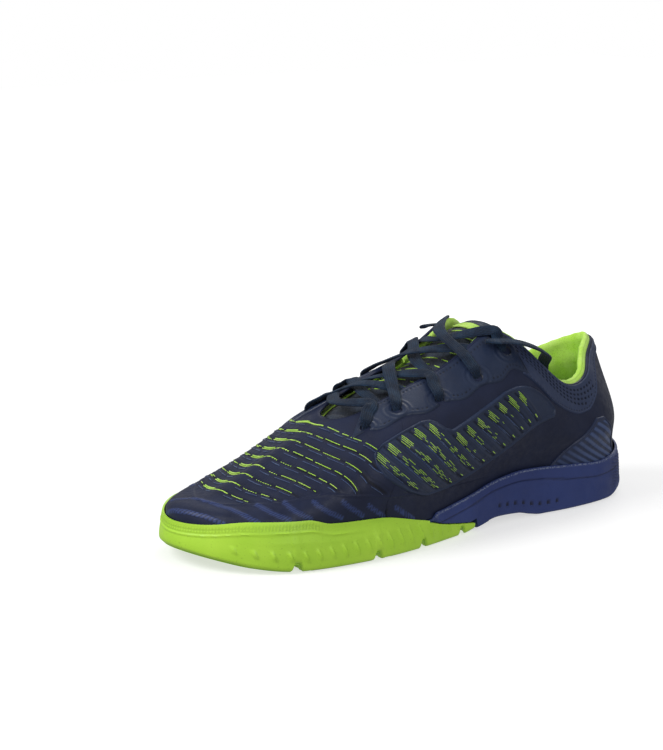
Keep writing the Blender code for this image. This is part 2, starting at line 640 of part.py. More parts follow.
def main():
    reset()
    bpy.context.scene.collection.children.link(shoe_collection)
    bpy.context.scene.collection.children.link(guide_collection)
    lime = material("lime_rubber", (0.36, 0.86, 0.02), 0.45)
    black = material("black_rubber", (0.02, 0.02, 0.025), 0.6)
    blue = material("blue_foam", (0.02, 0.04, 0.20), 0.6)
    navy = material("navy_synthetic", (0.012, 0.022, 0.055), 0.55)
    slate = material("navy_film", (0.02, 0.035, 0.09), 0.4)
    lime_mesh = material("lime_mesh", (0.40, 0.85, 0.03), 0.85)
    white_foam = material("padding_foam", (0.75, 0.75, 0.7), 0.95)
    fibre = material("fibre_board", (0.65, 0.62, 0.55), 0.9)
    stiffener = material("stiffener", (0.2, 0.2, 0.22), 0.7)
    cord = material("navy_lace", (0.01, 0.04, 0.06), 0.8)
    make_sole(lime, black, blue, fibre, lime_mesh)
    make_upper(navy, slate, lime_mesh, white_foam, stiffener)
    make_tongue(navy, white_foam, lime_mesh)
    make_laces(cord, slate)


main()
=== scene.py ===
"""Looks of the left indoor court shoe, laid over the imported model.

Frame: +Z up, toe towards -Y, outer (lateral) side towards +X, tread on z = 0.
Design values are in millimetres and become metres when a mesh is made.
surface(u, w) is the upper's outside: u runs round the shoe from the toe (0) by the lateral side and the
heel (HEEL) back to the toe, and w runs up from the feather line (0) to the edge of the opening (1).
"""

import math

import bmesh
import bpy
import numpy as np
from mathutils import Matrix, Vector


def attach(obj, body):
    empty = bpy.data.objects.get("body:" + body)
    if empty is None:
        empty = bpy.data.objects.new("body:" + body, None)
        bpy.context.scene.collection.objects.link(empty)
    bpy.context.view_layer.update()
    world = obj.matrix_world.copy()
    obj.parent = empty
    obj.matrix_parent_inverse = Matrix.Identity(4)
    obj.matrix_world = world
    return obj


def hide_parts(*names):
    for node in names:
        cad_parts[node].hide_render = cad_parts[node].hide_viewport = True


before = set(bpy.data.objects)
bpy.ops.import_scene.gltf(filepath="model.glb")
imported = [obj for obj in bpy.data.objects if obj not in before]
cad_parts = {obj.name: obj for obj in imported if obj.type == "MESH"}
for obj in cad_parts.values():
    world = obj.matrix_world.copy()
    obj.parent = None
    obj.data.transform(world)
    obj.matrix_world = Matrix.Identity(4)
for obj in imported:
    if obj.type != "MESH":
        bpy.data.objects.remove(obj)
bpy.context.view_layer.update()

MM = 0.001
GAP, LAYER_GAP = 0.3, 0.6
SOLE_LIP, PANEL, OUTSOLE = 3.5, 1.4, 4.0
W_KNOTS = np.array([0.0, 0.14, 0.4, 0.7, 1.0])
FOXING_RISE, FOXING_LEAN = 9.0, 1.2
GREEN_END, HEEL_START = 14.0, 26.0
QUARTER_FRONT = 4.5
RIM_W = 0.985  # pieces laid on the upper stop just below the edge of the opening
CREASE_DEGREES = 50
SHELL_INNER_ROWS = 7

# One row a station: sole edge (x, y), then the upper's lower, shoulder and opening points (x, y, z).
LATERAL = [
    ((-6, -149), (-4, -128, 32), (-1, -93, 47.5), (0, -54, 64.5)),
    ((16, -143), (11, -122, 32.5), (7, -89, 48.5), (5, -54.5, 65)),
    ((33, -129), (26, -110, 34.5), (18, -80, 50.5), (10, -52, 66)),
    ((46.5, -106), (39.5, -92, 35.5), (28, -67, 53.5), (14, -44, 68.5)),
    ((52.5, -72), (48, -65, 38), (36, -48, 59), (15, -30, 73.5)),
    ((51, -34), (50, -30, 40), (40, -20, 64), (16, -10, 80)),
    ((43, 4), (45, 4, 41), (40, 6, 68), (16.5, 9, 86.5)),
    ((38, 36), (42, 34, 46), (39, 32, 75), (18, 29, 97.5)),
    ((37, 62), (40.5, 58, 49), (37, 52, 78), (21, 44, 103)),
    ((38, 80), (40, 76, 44), (37, 71, 66), (31, 63, 88)),
    ((37.5, 98), (39, 95, 40), (36, 91, 56), (32, 86, 70)),
    ((34, 118), (35, 116, 41), (32, 112, 57), (27, 105, 72.5)),
    ((22, 138), (21, 133.5, 44), (18, 128.5, 62), (15, 118, 81)),
    ((0, 149), (0, 145, 43), (0, 139.5, 65), (0, 132.5, 87)),
]
MEDIAL = [
    ((-20, 140), (-20, 134.5, 44), (-18, 129, 62), (-15, 118, 82)),
    ((-33, 121), (-34, 118, 41), (-31, 113, 57), (-27, 105, 74)),
    ((-36, 100), (-37, 97, 40), (-34, 92, 57), (-31, 86, 72)),
    ((-34, 80), (-36, 76, 45), (-34, 71, 68), (-30, 63, 89)),
    ((-31, 60), (-34.5, 57, 50), (-33, 51, 78), (-21, 44, 103)),
    ((-29, 34), (-34, 34, 48), (-34, 32, 76), (-18, 28, 97)),
    ((-33, 2), (-38, 3, 43), (-36, 5, 70), (-16.5, 8, 86.5)),
    ((-43, -34), (-43, -30, 41), (-37, -20, 65), (-16, -11, 80)),
    ((-51, -72), (-46, -63, 38), (-35, -46, 58.5), (-14.5, -31, 73.5)),
    ((-50, -104), (-43, -89, 34.5), (-29, -65, 52), (-13, -44, 68.5)),
    ((-38, -131), (-32, -110, 32.5), (-19, -79, 48.5), (-9, -52, 66)),
    ((-24, -144), (-18, -121, 31.5), (-9, -88, 47), (-4.5, -54.5, 65)),
]
STATIONS = LATERAL + MEDIAL
ROUND = len(STATIONS)
HEEL = len(LATERAL) - 1

# Heights along the shoe, as (y, z).
TREAD = [(-149, 9), (-140, 6.5), (-125, 2.6), (-108, 0.3), (-100, 0), (5, 0), (18, 1.8), (32, 4), (48, 3.2),
         (65, 0), (118, 0), (130, 2), (140, 6), (149, 12.5)]
HEEL_RUBBER = [(26, 4), (118, 4), (149, 2.4)]
FEATHER = [(-149, 19), (-120, 15), (-60, 13), (0, 14), (40, 17), (100, 18), (149, 20)]
GREEN_TOP = [(-149, 22), (-125, 25.5), (-100, 25.5), (-86, 22.5), (-57, 21), (-30, 14.8), (-12, 9.5),
             (14, 4.5)]
BLUE_TOP = [(-30, 15), (-8, 17), (14, 20), (32, 24), (55, 26.5), (93, 24), (110, 22.5), (122, 23), (149, 27)]
SPINE_X = [(-105, 0), (-70, 1.5), (-30, 3.5), (20, 5), (60, 3), (112, 0)]
SPINE_FRONT, SPINE_BACK = -105.0, 112.0
BRIM_START = (-20.0, -16.0)


# ---------------------------------------------------------------- the loft

def along(points, y):
    """Height at y on a smooth line through (y, z) points that never overshoots them."""
    knots, values = (np.array(axis, dtype=float) for axis in zip(*points))
    step = np.diff(knots)
    rise = np.diff(values) / step
    slope = np.zeros(len(knots))
    same = rise[:-1] * rise[1:] > 0
    slope[1:-1][same] = 2 * rise[:-1][same] * rise[1:][same] / (rise[:-1] + rise[1:])[same]
    slope[0], slope[-1] = rise[0], rise[-1]
    y = np.clip(y, knots[0], knots[-1])
    i = np.clip(np.searchsorted(knots, y, side="right") - 1, 0, len(step) - 1)
    f = (y - knots[i]) / step[i]
    return (values[i] * (1 + 2 * f) * (1 - f) ** 2 + values[i + 1] * f * f * (3 - 2 * f)
            + step[i] * (slope[i] * f * (1 - f) ** 2 - slope[i + 1] * f * f * (1 - f)))


def closed_slopes(values):
    """Slopes that make a closed cubic through the rows of values smooth."""
    count = len(values)
    system = 4 * np.eye(count) + np.roll(np.eye(count), 1, 0) + np.roll(np.eye(count), -1, 0)
    return np.linalg.solve(system, 3 * (np.roll(values, -1, 0) - np.roll(values, 1, 0)))


def closed_curve(curve, at):
    """Point at parameter at (0 to the row count) of a closed curve given as (rows, slopes)."""
    values, slope = curve
    count = len(values)
    at = np.asarray(at, dtype=float)
    i = np.floor(at).astype(int) % count
    j = (i + 1) % count
    f = (at - np.floor(at))[..., None]
    return (values[i] * (1 + 2 * f) * (1 - f) ** 2 + values[j] * f * f * (3 - 2 * f)
            + slope[i] * f * (1 - f) ** 2 - slope[j] * f * f * (1 - f))


def ease(low, high, value):
    """Smooth step from 0 at low to 1 at high."""
    f = np.clip((np.asarray(value, dtype=float) - low) / (high - low), 0, 1)
    return f * f * (3 - 2 * f)


def bump(value, middle, half):
    """Smooth hump of height 1 at middle that ends half away on each side."""
    f = np.clip(1 - np.abs(value - middle) / half, 0, 1)
    return f * f * (3 - 2 * f)


def unit(vectors):
    """Vectors with their length along the last axis made 1."""
    return vectors / np.linalg.norm(vectors, axis=-1, keepdims=True)


def lengths(points):
    """Distance of each point of a run from the run's start."""
    return np.concatenate([[0], np.cumsum(np.linalg.norm(np.diff(points, axis=0), axis=1))])


def spine(y):
    """Middle line of the sole, which the ends of toe and heel fan out from."""
    y = np.clip(y, SPINE_FRONT, SPINE_BACK)
    return np.stack([along(SPINE_X, y), y], -1)


def low_rows():
    """The upper's two lowest rows: the sole edge moved in by the sole's lip, and the same higher up."""
    edge = np.array([station[0] for station in STATIONS], dtype=float)
    inward = unit(spine(edge[:, 1]) - edge)
    point = edge + inward * SOLE_LIP
    height = along(FEATHER, point[:, 1])
    return [np.column_stack([point, height]),
            np.column_stack([point + inward * FOXING_LEAN, height + FOXING_RISE])]


ROWS = low_rows() + [np.array([station[k] for station in STATIONS], dtype=float) for k in (1, 2, 3)]
ROWS = [(row, closed_slopes(row)) for row in ROWS]


def knot_slopes(knots):
    """Matrix that gives a natural cubic's slopes at its knots from its values there."""
    step = np.diff(knots)
    count = len(knots)
    system, right = np.zeros((count, count)), np.zeros((count, count))
    system[0, :2], right[0, :2] = (2, 1), np.array([-3, 3]) / step[0]
    system[-1, -2:], right[-1, -2:] = (1, 2), np.array([-3, 3]) / step[-1]
    for i in range(1, count - 1):
        before, after = 1 / step[i - 1], 1 / step[i]
        system[i, i - 1:i + 2] = (before, 2 * (before + after), after)
        right[i, i - 1:i + 2] = 3 * np.array([-before ** 2, before ** 2 - after ** 2, after ** 2])
    return np.linalg.solve(system, right)


W_SLOPES = knot_slopes(W_KNOTS)


def row_weights(w):
    """How much each row counts at height w on the upper."""
    i = np.clip(np.searchsorted(W_KNOTS, w, side="right") - 1, 0, len(W_KNOTS) - 2)
    step = (W_KNOTS[i + 1] - W_KNOTS[i])[..., None]
    f = (w[..., None] - W_KNOTS[i][..., None]) / step
    unit = np.eye(len(W_KNOTS))
    return (unit[i] * (1 + 2 * f) * (1 - f) ** 2 + unit[i + 1] * f * f * (3 - 2 * f)
            + step * (W_SLOPES[i] * f * (1 - f) ** 2 - W_SLOPES[i + 1] * f * f * (1 - f)))


def surface(u, w):
    """Point on the outside of the upper."""
    u, w = np.broadcast_arrays(np.asarray(u, dtype=float), np.asarray(w, dtype=float))
    weights = row_weights(w)
    return sum(closed_curve(row, u) * weights[..., k, None] for k, row in enumerate(ROWS))


def outward(u, w):
    """Unit vector out of the upper."""
    u, w = np.broadcast_arrays(np.asarray(u, dtype=float), np.asarray(w, dtype=float))
    d = 0.01
    low, high = np.clip(w - d, 0, 1), np.clip(w + d, 0, 1)
    return unit(np.cross(surface(u + d, w) - surface(u - d, w), surface(u, high) - surface(u, low)))


def offset(u, w, out):
    """Point at distance out from the upper's outside; negative goes into the shoe."""
    return surface(u, w) + outward(u, w) * np.asarray(out, dtype=float)[..., None]


def wall(u, z, out):
    """Points on the side of the sole for columns u (n), heights z and distances out (n, m) from the upper."""
    base = closed_curve(ROWS[0], u)
    samples = np.linspace(0, 0.6, 60)
    table = np.maximum.accumulate(surface(u[:, None], samples[None, :])[..., 2], axis=1)
    w = np.array([np.interp(heights, line, samples) for heights, line in zip(z, table)])
    upper = offset(u[:, None], w, out)
    away = unit(base[:, :2] - spine(base[:, 1]))
    lower = np.concatenate([base[:, None, :2] + away[:, None, :] * out[..., None], z[..., None]], -1)
    return np.where((z >= base[:, 2:3])[..., None], upper, lower)


def u_at(y, medial=False):
    """Where round the shoe (u) the feather line passes y."""
    u = np.linspace(ROUND if medial else 0, HEEL, 400)
    return float(np.interp(y, np.maximum.accumulate(closed_curve(ROWS[0], u % ROUND)[:, 1]), u))


def round_steps(start, end, spacing, w=0.3):
    """Values of u from start to end at an even distance apart on the upper at height w."""
    fine = np.linspace(start, end, 1200)
    length = lengths(surface(fine, w))
    return np.interp(np.linspace(0, length[-1], int(length[-1] / spacing) + 2), length, fine)


# ---------------------------------------------------------------- mesh helpers

def add_object(name, points, faces, finish, body, slot, nodes=(), **masks):
    """A closed skin as an object: points in mm, faces as index tuples, masks a value for each point."""
    data = bpy.data.meshes.new(name)
    data.from_pydata((np.asarray(points) * MM).tolist(), [], faces)
    for key, values in masks.items():
        layer = data.attributes.new(key, "FLOAT", "POINT")
        layer.data.foreach_set("value", np.ravel(values).astype(np.float32))
    mesh = bmesh.new()
    mesh.from_mesh(data)
    bmesh.ops.remove_doubles(mesh, verts=mesh.verts, dist=2e-6)
    bmesh.ops.dissolve_degenerate(mesh, edges=mesh.edges, dist=1e-7)
    bmesh.ops.recalc_face_normals(mesh, faces=mesh.faces)
    if mesh.calc_volume(signed=True) < 0:
        bmesh.ops.reverse_faces(mesh, faces=mesh.faces)
    mesh.to_mesh(data)
    mesh.free()
    data.shade_smooth()
    data.set_sharp_from_angle(angle=math.radians(CREASE_DEGREES))
    item = bpy.data.objects.new(name, data)
    bpy.context.scene.collection.objects.link(item)
    data.materials.append(finish)
    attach(item, body)
    if nodes:
        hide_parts(*nodes)
    return item


def ring_faces(columns, points, closed, wrap, start=0):
    """Quads between neighbouring rings, and caps on the two end rings where the rings don't close."""
    index = np.arange(columns * points).reshape(columns, points) + start
    here, there = (index, np.roll(index, -1, 0)) if closed else (index[:-1], index[1:])
    if wrap:
        quads = np.stack([here, there, np.roll(there, -1, 1), np.roll(here, -1, 1)], -1)
    else:
        quads = np.stack([here[:, :-1], there[:, :-1], there[:, 1:], here[:, 1:]], -1)
    faces = [tuple(quad) for quad in quads.reshape(-1, 4).tolist()]
    if not closed:
        faces += [tuple(index[0].tolist()), tuple(index[-1].tolist())]
    return faces


def add_rings(name, rings, closed, wrap, *look, **masks):
    """A skin through rings (columns, points, 3); look is its finish, body, slot and replaced nodes."""
    faces = ring_faces(rings.shape[0], rings.shape[1], closed, wrap)
    return add_object(name, rings.reshape(-1, 3), faces, *look, **masks)


def add_shell(name, u, w, top, bottom, *look, **masks):
    """Shell on the upper: u and w (columns, rows), top the outside's heights, bottom the inside's."""
    outer = offset(u, w, top)
    pick = np.linspace(0, w.shape[1] - 1, SHELL_INNER_ROWS).round().astype(int)
    inner = offset(u[:, pick], w[:, pick], bottom)[:, ::-1]
    masks = {key: np.concatenate([values, np.zeros(inner.shape[:2])], 1) for key, values in masks.items()}
    return add_rings(name, np.concatenate([outer, inner], 1), False, True, *look, **masks)


# ---------------------------------------------------------------- materials

def linear(red, green, blue):
    """Scene colour of a colour given in 0 to 255 display steps."""
    steps = np.array([red, green, blue]) / 255
    light = np.where(steps <= 0.04045, steps / 12.92, ((steps + 0.055) / 1.055) ** 2.4)
    return (*light.tolist(), 1.0)


class Finish:
    """A material being built: colour, roughness and bump are each added to in turn."""

    def __init__(self, name, colour, roughness, specular=0.5, sheen=0.0):
        self.material = bpy.data.materials.new(name)
        self.material.use_nodes = True
        self.tree = self.material.node_tree
        self.shader = self.tree.nodes["Principled BSDF"]
        self.shader.inputs["Roughness"].default_value = roughness
        self.shader.inputs["Specular IOR Level"].default_value = specular
        self.shader.inputs["Sheen Weight"].default_value = sheen
        self.shader.inputs["Sheen Roughness"].default_value = 0.5
        self.place = self.add("ShaderNodeTexCoord").outputs["Object"]
        self.colour = self.add("ShaderNodeRGB").outputs[0]
        self.colour.default_value = colour
        self.height = None

    def add(self, kind, **settings):
        node = self.tree.nodes.new(kind)
        for key, value in settings.items():
            setattr(node, key, value)
        return node

    def link(self, source, target):
        self.tree.links.new(source, target)

    def noise(self, size, detail=4.0):
        """Noise whose features are about size mm across."""
        node = self.add("ShaderNodeTexNoise")
        node.inputs["Scale"].default_value = 1 / (size * MM)
        node.inputs["Detail"].default_value = detail
        self.link(self.place, node.inputs["Vector"])
        return node.outputs["Fac"]

    def cells(self, size):
        """Pebbles about size mm across."""
        node = self.add("ShaderNodeTexVoronoi")
        node.inputs["Scale"].default_value = 1 / (size * MM)
        self.link(self.place, node.inputs["Vector"])
        return node.outputs["Distance"]

    def wave(self, size, turn):
        """Bands size mm apart, turned by the angles in degrees."""
        node = self.add("ShaderNodeTexWave", wave_type="BANDS", bands_direction="X")
        node.inputs["Scale"].default_value = WAVE_SCALE / (size * MM)
        node.inputs["Distortion"].default_value = 0.3
        node.inputs["Detail Scale"].default_value = 2.0
        mapping = self.add("ShaderNodeMapping")
        mapping.inputs["Rotation"].default_value = [math.radians(angle) for angle in turn]
        self.link(self.place, mapping.inputs["Vector"])
        self.link(mapping.outputs["Vector"], node.inputs["Vector"])
        return node.outputs["Fac"]

    def weave(self, size):
        """Two crossed sets of threads size mm apart, on every side of the piece."""
        return self.product(self.wave(size, (0, 0, 38)), self.wave(size, (90, 52, 20)))

    def product(self, first, second):
        node = self.add("ShaderNodeMath", operation="MULTIPLY")
        self.link(first, node.inputs[0])
        self.link(second, node.inputs[1])
        return node.outputs[0]

    def ramp(self, value, low, high, to_low=0.0, to_high=1.0):
        """The value, moved from the range low to high to the range to_low to to_high."""
        node = self.add("ShaderNodeMapRange", clamp=True)
        for key, number in (("From Min", low), ("From Max", high), ("To Min", to_low), ("To Max", to_high)):
            node.inputs[key].default_value = number
        self.link(value, node.inputs["Value"])
        return node.outputs["Result"]

    def attribute(self, name="deep"):
        return self.add("ShaderNodeAttribute", attribute_name=name).outputs["Fac"]

    def tint(self, share, colour):
        """Mixes a share of a colour over the colour so far."""
        node = self.add("ShaderNodeMix", data_type="RGBA")
        self.link(share, node.inputs[0])
        self.link(self.colour, node.inputs[6])
        node.inputs[7].default_value = colour
        self.colour = node.outputs[2]
        return self

    def rough(self, value, low, high):
        """Roughness between low and high, led by the value."""
        self.link(self.ramp(value, 0.3, 0.7, low, high), self.shader.inputs["Roughness"])
        return self

    def raise_by(self, value, distance, strength):
        """Bump of distance mm, over the bumps so far."""
        node = self.add("ShaderNodeBump")
        node.inputs["Distance"].default_value = distance * MM
        node.inputs["Strength"].default_value = strength
        self.link(value, node.inputs["Height"])
        if self.height is not None:
            self.link(self.height, node.inputs["Normal"])
        self.height = node.outputs["Normal"]
        return self

    def done(self):
        self.link(self.colour, self.shader.inputs["Base Color"])
        if self.height is not None:
            self.link(self.height, self.shader.inputs["Normal"])
        return self.material


def synthetic(name, colour, deep, light, roughness=0.5, grain=0.55):
    """Coated synthetic: fine grain, cloudy colour, painted shade in its grooves, blue on its hatched bars."""
    look = Finish(name, colour, roughness, specular=0.32)
    look.tint(look.ramp(look.noise(14), 0.35, 0.7, 0, 0.45), light)
    look.tint(look.attribute("hatch"), HATCH_BLUE)
    # Painted shade: the deep mask darkens grooves, holes and stitch dents; on the heel panel it is the
    # printed ground between the stripes.
    look.tint(look.attribute(), deep)
    look.raise_by(look.cells(grain), 0.05, 0.6).raise_by(look.noise(1.6, 6), 0.06, 0.5)
    return look.rough(look.noise(3.0), roughness - 0.08, roughness + 0.14).done()


def rubber(name, colour, deep, light, roughness=0.45):
    """Moulded rubber or foam skin: fine pits, soft clouds, pale scuffs and a painted edge highlight where the
    hatch mask asks for them.
    """
    look = Finish(name, colour, roughness, specular=0.5)
    look.tint(look.ramp(look.noise(25, 5), 0.4, 0.7, 0, 0.5), light)
    look.tint(look.ramp(look.noise(1.1, 2), 0.62, 0.75, 0, 0.25), deep)
    # Pale mottled band where the hatch mask asks for it: partly scuffing, partly a painted edge highlight.
    look.tint(look.product(look.attribute("hatch"), look.ramp(look.noise(0.8, 4), 0.42, 0.6)), SCUFF_AND_HIGHLIGHT)
    # Painted shade: the deep mask darkens tread cuts, slots, creases and ribs towards the deep colour.
    look.tint(look.attribute(), deep)
    look.raise_by(look.noise(0.5, 3), 0.035, 0.5).raise_by(look.noise(6, 2), 0.10, 0.25)
    return look.rough(look.noise(5), roughness - 0.06, roughness + 0.12).done()


def cloth(name, colour, deep, light, size, sheen=0.25, knit=False):
    """Woven or knitted cloth with threads size mm apart, fuzzy and matte."""
    look = Finish(name, colour, 0.85, specular=0.25, sheen=sheen)
    weave = look.cells(size) if knit else look.weave(size)
    look.tint(look.ramp(weave, 0.0, 0.45, 0.75, 0.0), deep)
    look.tint(look.ramp(look.noise(7, 5), 0.42, 0.68, 0, 0.5), light)
    # Painted shade: the deep mask darkens the quilting troughs and the lace's grooves; on the collar roll it
    # is the dark seam.
    look.tint(look.attribute(), deep)
    look.raise_by(weave, 0.16, 0.8).raise_by(look.noise(0.35, 3), 0.08, 0.5)
    return look.rough(look.noise(2), 0.75, 0.95).done()


WAVE_SCALE = 0.314  # a wave texture's scale for bands one unit apart
LIME_SIDE, LIME_TOP, LIME_DARK = linear(176, 226, 58), linear(198, 242, 76), linear(98, 138, 24)
NAVY, NAVY_DEEP, NAVY_LIGHT = linear(19, 27, 53), linear(4, 6, 14), linear(30, 41, 72)
SCUFF_AND_HIGHLIGHT = linear(150, 160, 180)
HATCH_BLUE = linear(52, 68, 118)

lime_rubber = rubber("lime rubber", LIME_SIDE, LIME_DARK, LIME_TOP)
black_rubber = rubber("black rubber", linear(26, 27, 32), linear(8, 8, 10), linear(36, 38, 44), 0.6)
heel_rubber = rubber("heel rubber", linear(34, 42, 68), linear(12, 16, 30), linear(46, 56, 84), 0.55)
blue_foam = rubber("blue foam", linear(32, 50, 108), linear(9, 16, 44), linear(44, 64, 128), 0.5)
navy_skin = synthetic("navy synthetic", NAVY, NAVY_DEEP, NAVY_LIGHT, 0.46)
navy_film = synthetic("navy film", linear(29, 40, 64), NAVY_DEEP, linear(42, 54, 80), 0.38, 0.4)
window_film = synthetic("ribbed film", linear(32, 43, 68), linear(4, 6, 13), linear(48, 62, 92), 0.4, 0.35)
panel_skin = synthetic("perforated synthetic", linear(44, 55, 84), linear(6, 8, 16), linear(58, 70, 100), 0.5)
stripe_film = synthetic("slate stripe", linear(66, 83, 124), NAVY, linear(80, 98, 140), 0.42)
lime_knit = cloth("lime knit", linear(178, 226, 72), linear(112, 154, 36), linear(212, 246, 130), 0.8,
                  knit=True)
# A lighter copy of the lime knit for the collar roll: painted light on the rim that faces the lamps.
lime_rim = cloth("lime rim", linear(190, 238, 88), linear(132, 178, 50), linear(222, 252, 148), 0.7,
                 knit=True)
navy_knit = cloth("navy mesh", linear(44, 54, 72), linear(16, 21, 32), linear(62, 76, 96), 0.8)
lace_cloth = cloth("navy lace", linear(22, 43, 70), linear(6, 13, 24), linear(38, 66, 94), 0.62, 0.08)
lime_thread = cloth("lime thread", linear(196, 246, 84), linear(130, 176, 40), linear(224, 255, 132), 0.5)
blue_thread = cloth("blue thread", linear(58, 78, 128), linear(40, 54, 82), linear(98, 122, 160), 0.5)
aglet_film = rubber("aglet film", linear(28, 36, 52), linear(14, 18, 28), linear(46, 58, 80), 0.22)
fibre_board = cloth("fibre board", linear(205, 200, 186), linear(160, 152, 136), linear(225, 222, 212), 1.2)
stiffener = rubber("stiffener", linear(120, 120, 126), linear(80, 80, 84), linear(150, 150, 156), 0.6)


# ---------------------------------------------------------------- camera, light and floor

CAMERA_AZIMUTH, CAMERA_ELEVATION, CAMERA_DISTANCE = 51.0, 13.5, 1250.0
CAMERA_TARGET = (0.0, 0.0, 45.0)
CAMERA_LENS = 111.36
TURN_LEFT, TURN_UP = 1.876, 1.555
FLOOR_SIZE, FLOOR_Z, FLOOR_GLOW = 5.0, -0.0004, 0.6
BACKDROP_RADIUS = 5.9
WORLD_LIGHT = 0.36
# Each lamp's name, place in metres, size in metres and power in watts.
LAMPS = [("key", (-0.25, -1.2, 1.15), 0.9, 17), ("fill", (1.4, -0.3, 0.8), 1.0, 6),
         ("back", (-0.7, 1.0, 1.2), 0.9, 7)]
WHITE = (1, 1, 1, 1)


def make_camera():
    azimuth, elevation = math.radians(CAMERA_AZIMUTH), math.radians(CAMERA_ELEVATION)
    back = Vector((math.sin(azimuth) * math.cos(elevation), -math.cos(azimuth) * math.cos(elevation),
                   math.sin(elevation)))
    data = bpy.data.cameras.new("camera")
    data.lens, data.sensor_width, data.clip_end = CAMERA_LENS, 36.0, 10.0
    camera = bpy.data.objects.new("camera", data)
    camera.location = (Vector(CAMERA_TARGET) + back * CAMERA_DISTANCE) * MM
    side = Vector((0, 0, 1)).cross(back).normalized()
    up = back.cross(side)
    look = -back + side * -math.tan(math.radians(TURN_LEFT)) + up * math.tan(math.radians(TURN_UP))
    camera.rotation_euler = look.to_track_quat("-Z", "Y").to_euler()
    bpy.context.scene.collection.objects.link(camera)
    bpy.context.scene.camera = camera


def make_lamp(name, place, size, power):
    data = bpy.data.lights.new(name, "AREA")
    data.shape, data.size, data.energy = "DISK", size, power
    lamp = bpy.data.objects.new(name, data)
    lamp.location = place
    lamp.rotation_euler = (Vector((0, 0, 0.04)) - Vector(place)).to_track_quat("-Z", "Y").to_euler()
    bpy.context.scene.collection.objects.link(lamp)


def make_floor():
    """White floor that glows a little more with distance, so that it fades into the backdrop."""
    bpy.ops.mesh.primitive_grid_add(x_subdivisions=8, y_subdivisions=8, size=FLOOR_SIZE,
                                    location=(0, 0, FLOOR_Z))
    floor = bpy.context.object
    floor.name = "floor"
    look = Finish("white floor", (0.5, 0.5, 0.5, 1), 0.9, specular=0.05)
    look.shader.inputs["Emission Color"].default_value = WHITE
    look.raise_by(look.noise(40, 2), 0.05, 0.1)
    away = look.add("ShaderNodeVectorMath", operation="LENGTH")
    look.link(look.place, away.inputs[0])
    glow = look.ramp(away.outputs["Value"], 0.25, 0.9, FLOOR_GLOW, 1.0)
    look.link(glow, look.shader.inputs["Emission Strength"])
    floor.data.materials.append(look.rough(look.noise(60), 0.85, 0.95).done())
    floor.visible_diffuse = floor.visible_glossy = False


def make_backdrop():
    """White ball round the scene that only the camera sees."""
    bpy.ops.mesh.primitive_uv_sphere_add(segments=48, ring_count=24, radius=BACKDROP_RADIUS)
    sky = bpy.context.object
    sky.name = "white backdrop"
    glow = bpy.data.materials.new("white backdrop")
    glow.use_nodes = True
    nodes = glow.node_tree.nodes
    nodes.clear()
    light, output = nodes.new("ShaderNodeEmission"), nodes.new("ShaderNodeOutputMaterial")
    glow.node_tree.links.new(light.outputs[0], output.inputs["Surface"])
    sky.data.materials.append(glow)
    sky.visible_diffuse = sky.visible_glossy = sky.visible_shadow = sky.visible_transmission = False


def make_light():
    world = bpy.data.worlds.new("studio")
    world.use_nodes = True
    background = world.node_tree.nodes["Background"]
    background.inputs["Color"].default_value = WHITE
    background.inputs["Strength"].default_value = WORLD_LIGHT
    bpy.context.scene.world = world
    bpy.context.scene.view_settings.view_transform = "Standard"
    for lamp in LAMPS:
        make_lamp(*lamp)


make_camera()
make_floor()
make_backdrop()
make_light()


# ---------------------------------------------------------------- upper

ROW_PITCH = 7.3
HATCH_PITCH = 1.7
SKIN_STEP, SKIN_ROWS = 0.8, 118
SEAM = 0.004  # half of the gap in u between two skins
LINING_END, LINING_DEPTH, KNIT = 6.0, 3.7, 0.7
RAND_LINE = [(0, 0.36), (1.5, 0.35), (2.3, 0.36), (3.06, 0.41), (3.98, 0.34), (4.59, 0.28), (6.04, 0.21),
             (7, 0.15)]
EYELETS = [(3.60, 0.81), (4.42, 0.85), (5.48, 0.80), (6.60, 0.82), (7.8, 0.86)]
# Slanted bars of the rand, each from its upper to its lower end, and the arcs round the toe, all as (u, w).
BARS = [((1.85, 0.35), (2.86, 0.20)), ((2.45, 0.37), (3.25, 0.20)), ((3.08, 0.36), (3.76, 0.18)),
        ((3.68, 0.32), (4.11, 0.17)), ((4.17, 0.25), (4.50, 0.12)), ((4.68, 0.18), (5.01, 0.05))]
ARCS = [[(-0.9, 0.20), (-0.45, 0.33), (0.0, 0.37), (0.47, 0.36), (1.25, 0.30), (1.8, 0.235), (2.25, 0.17)],
        [(-0.7, 0.07), (-0.14, 0.13), (0.40, 0.16), (0.92, 0.155), (1.43, 0.12)]]
WINDOW_LOW = [(3.95, 0.60), (4.05, 0.53), (4.29, 0.43), (4.81, 0.29), (5.1, 0.225), (5.25, 0.205),
              (5.66, 0.21), (6.66, 0.31), (7.5, 0.385), (8.28, 0.45), (8.7, 0.50), (8.85, 0.56)]
WINDOW_HIGH = [(3.95, 0.61), (4.1, 0.66), (4.5, 0.70), (4.9, 0.725), (5.1, 0.715), (5.25, 0.69), (5.45, 0.64),
               (5.6, 0.62), (5.8, 0.63), (6.4, 0.66), (7.05, 0.68), (7.5, 0.67), (8.1, 0.65), (8.6, 0.63),
               (8.8, 0.60), (8.85, 0.575)]


def either_side(u):
    """u measured from the toe along whichever side it is on."""
    u = np.mod(u, ROUND)
    return np.where(u > HEEL, (ROUND - u) * HEEL / (ROUND - HEEL), u)


def from_side(u, side):
    """Place round the shoe of a lateral place u, on the wanted side."""
    return u if side == "lateral" else ROUND - np.asarray(u) * (ROUND - HEEL) / HEEL


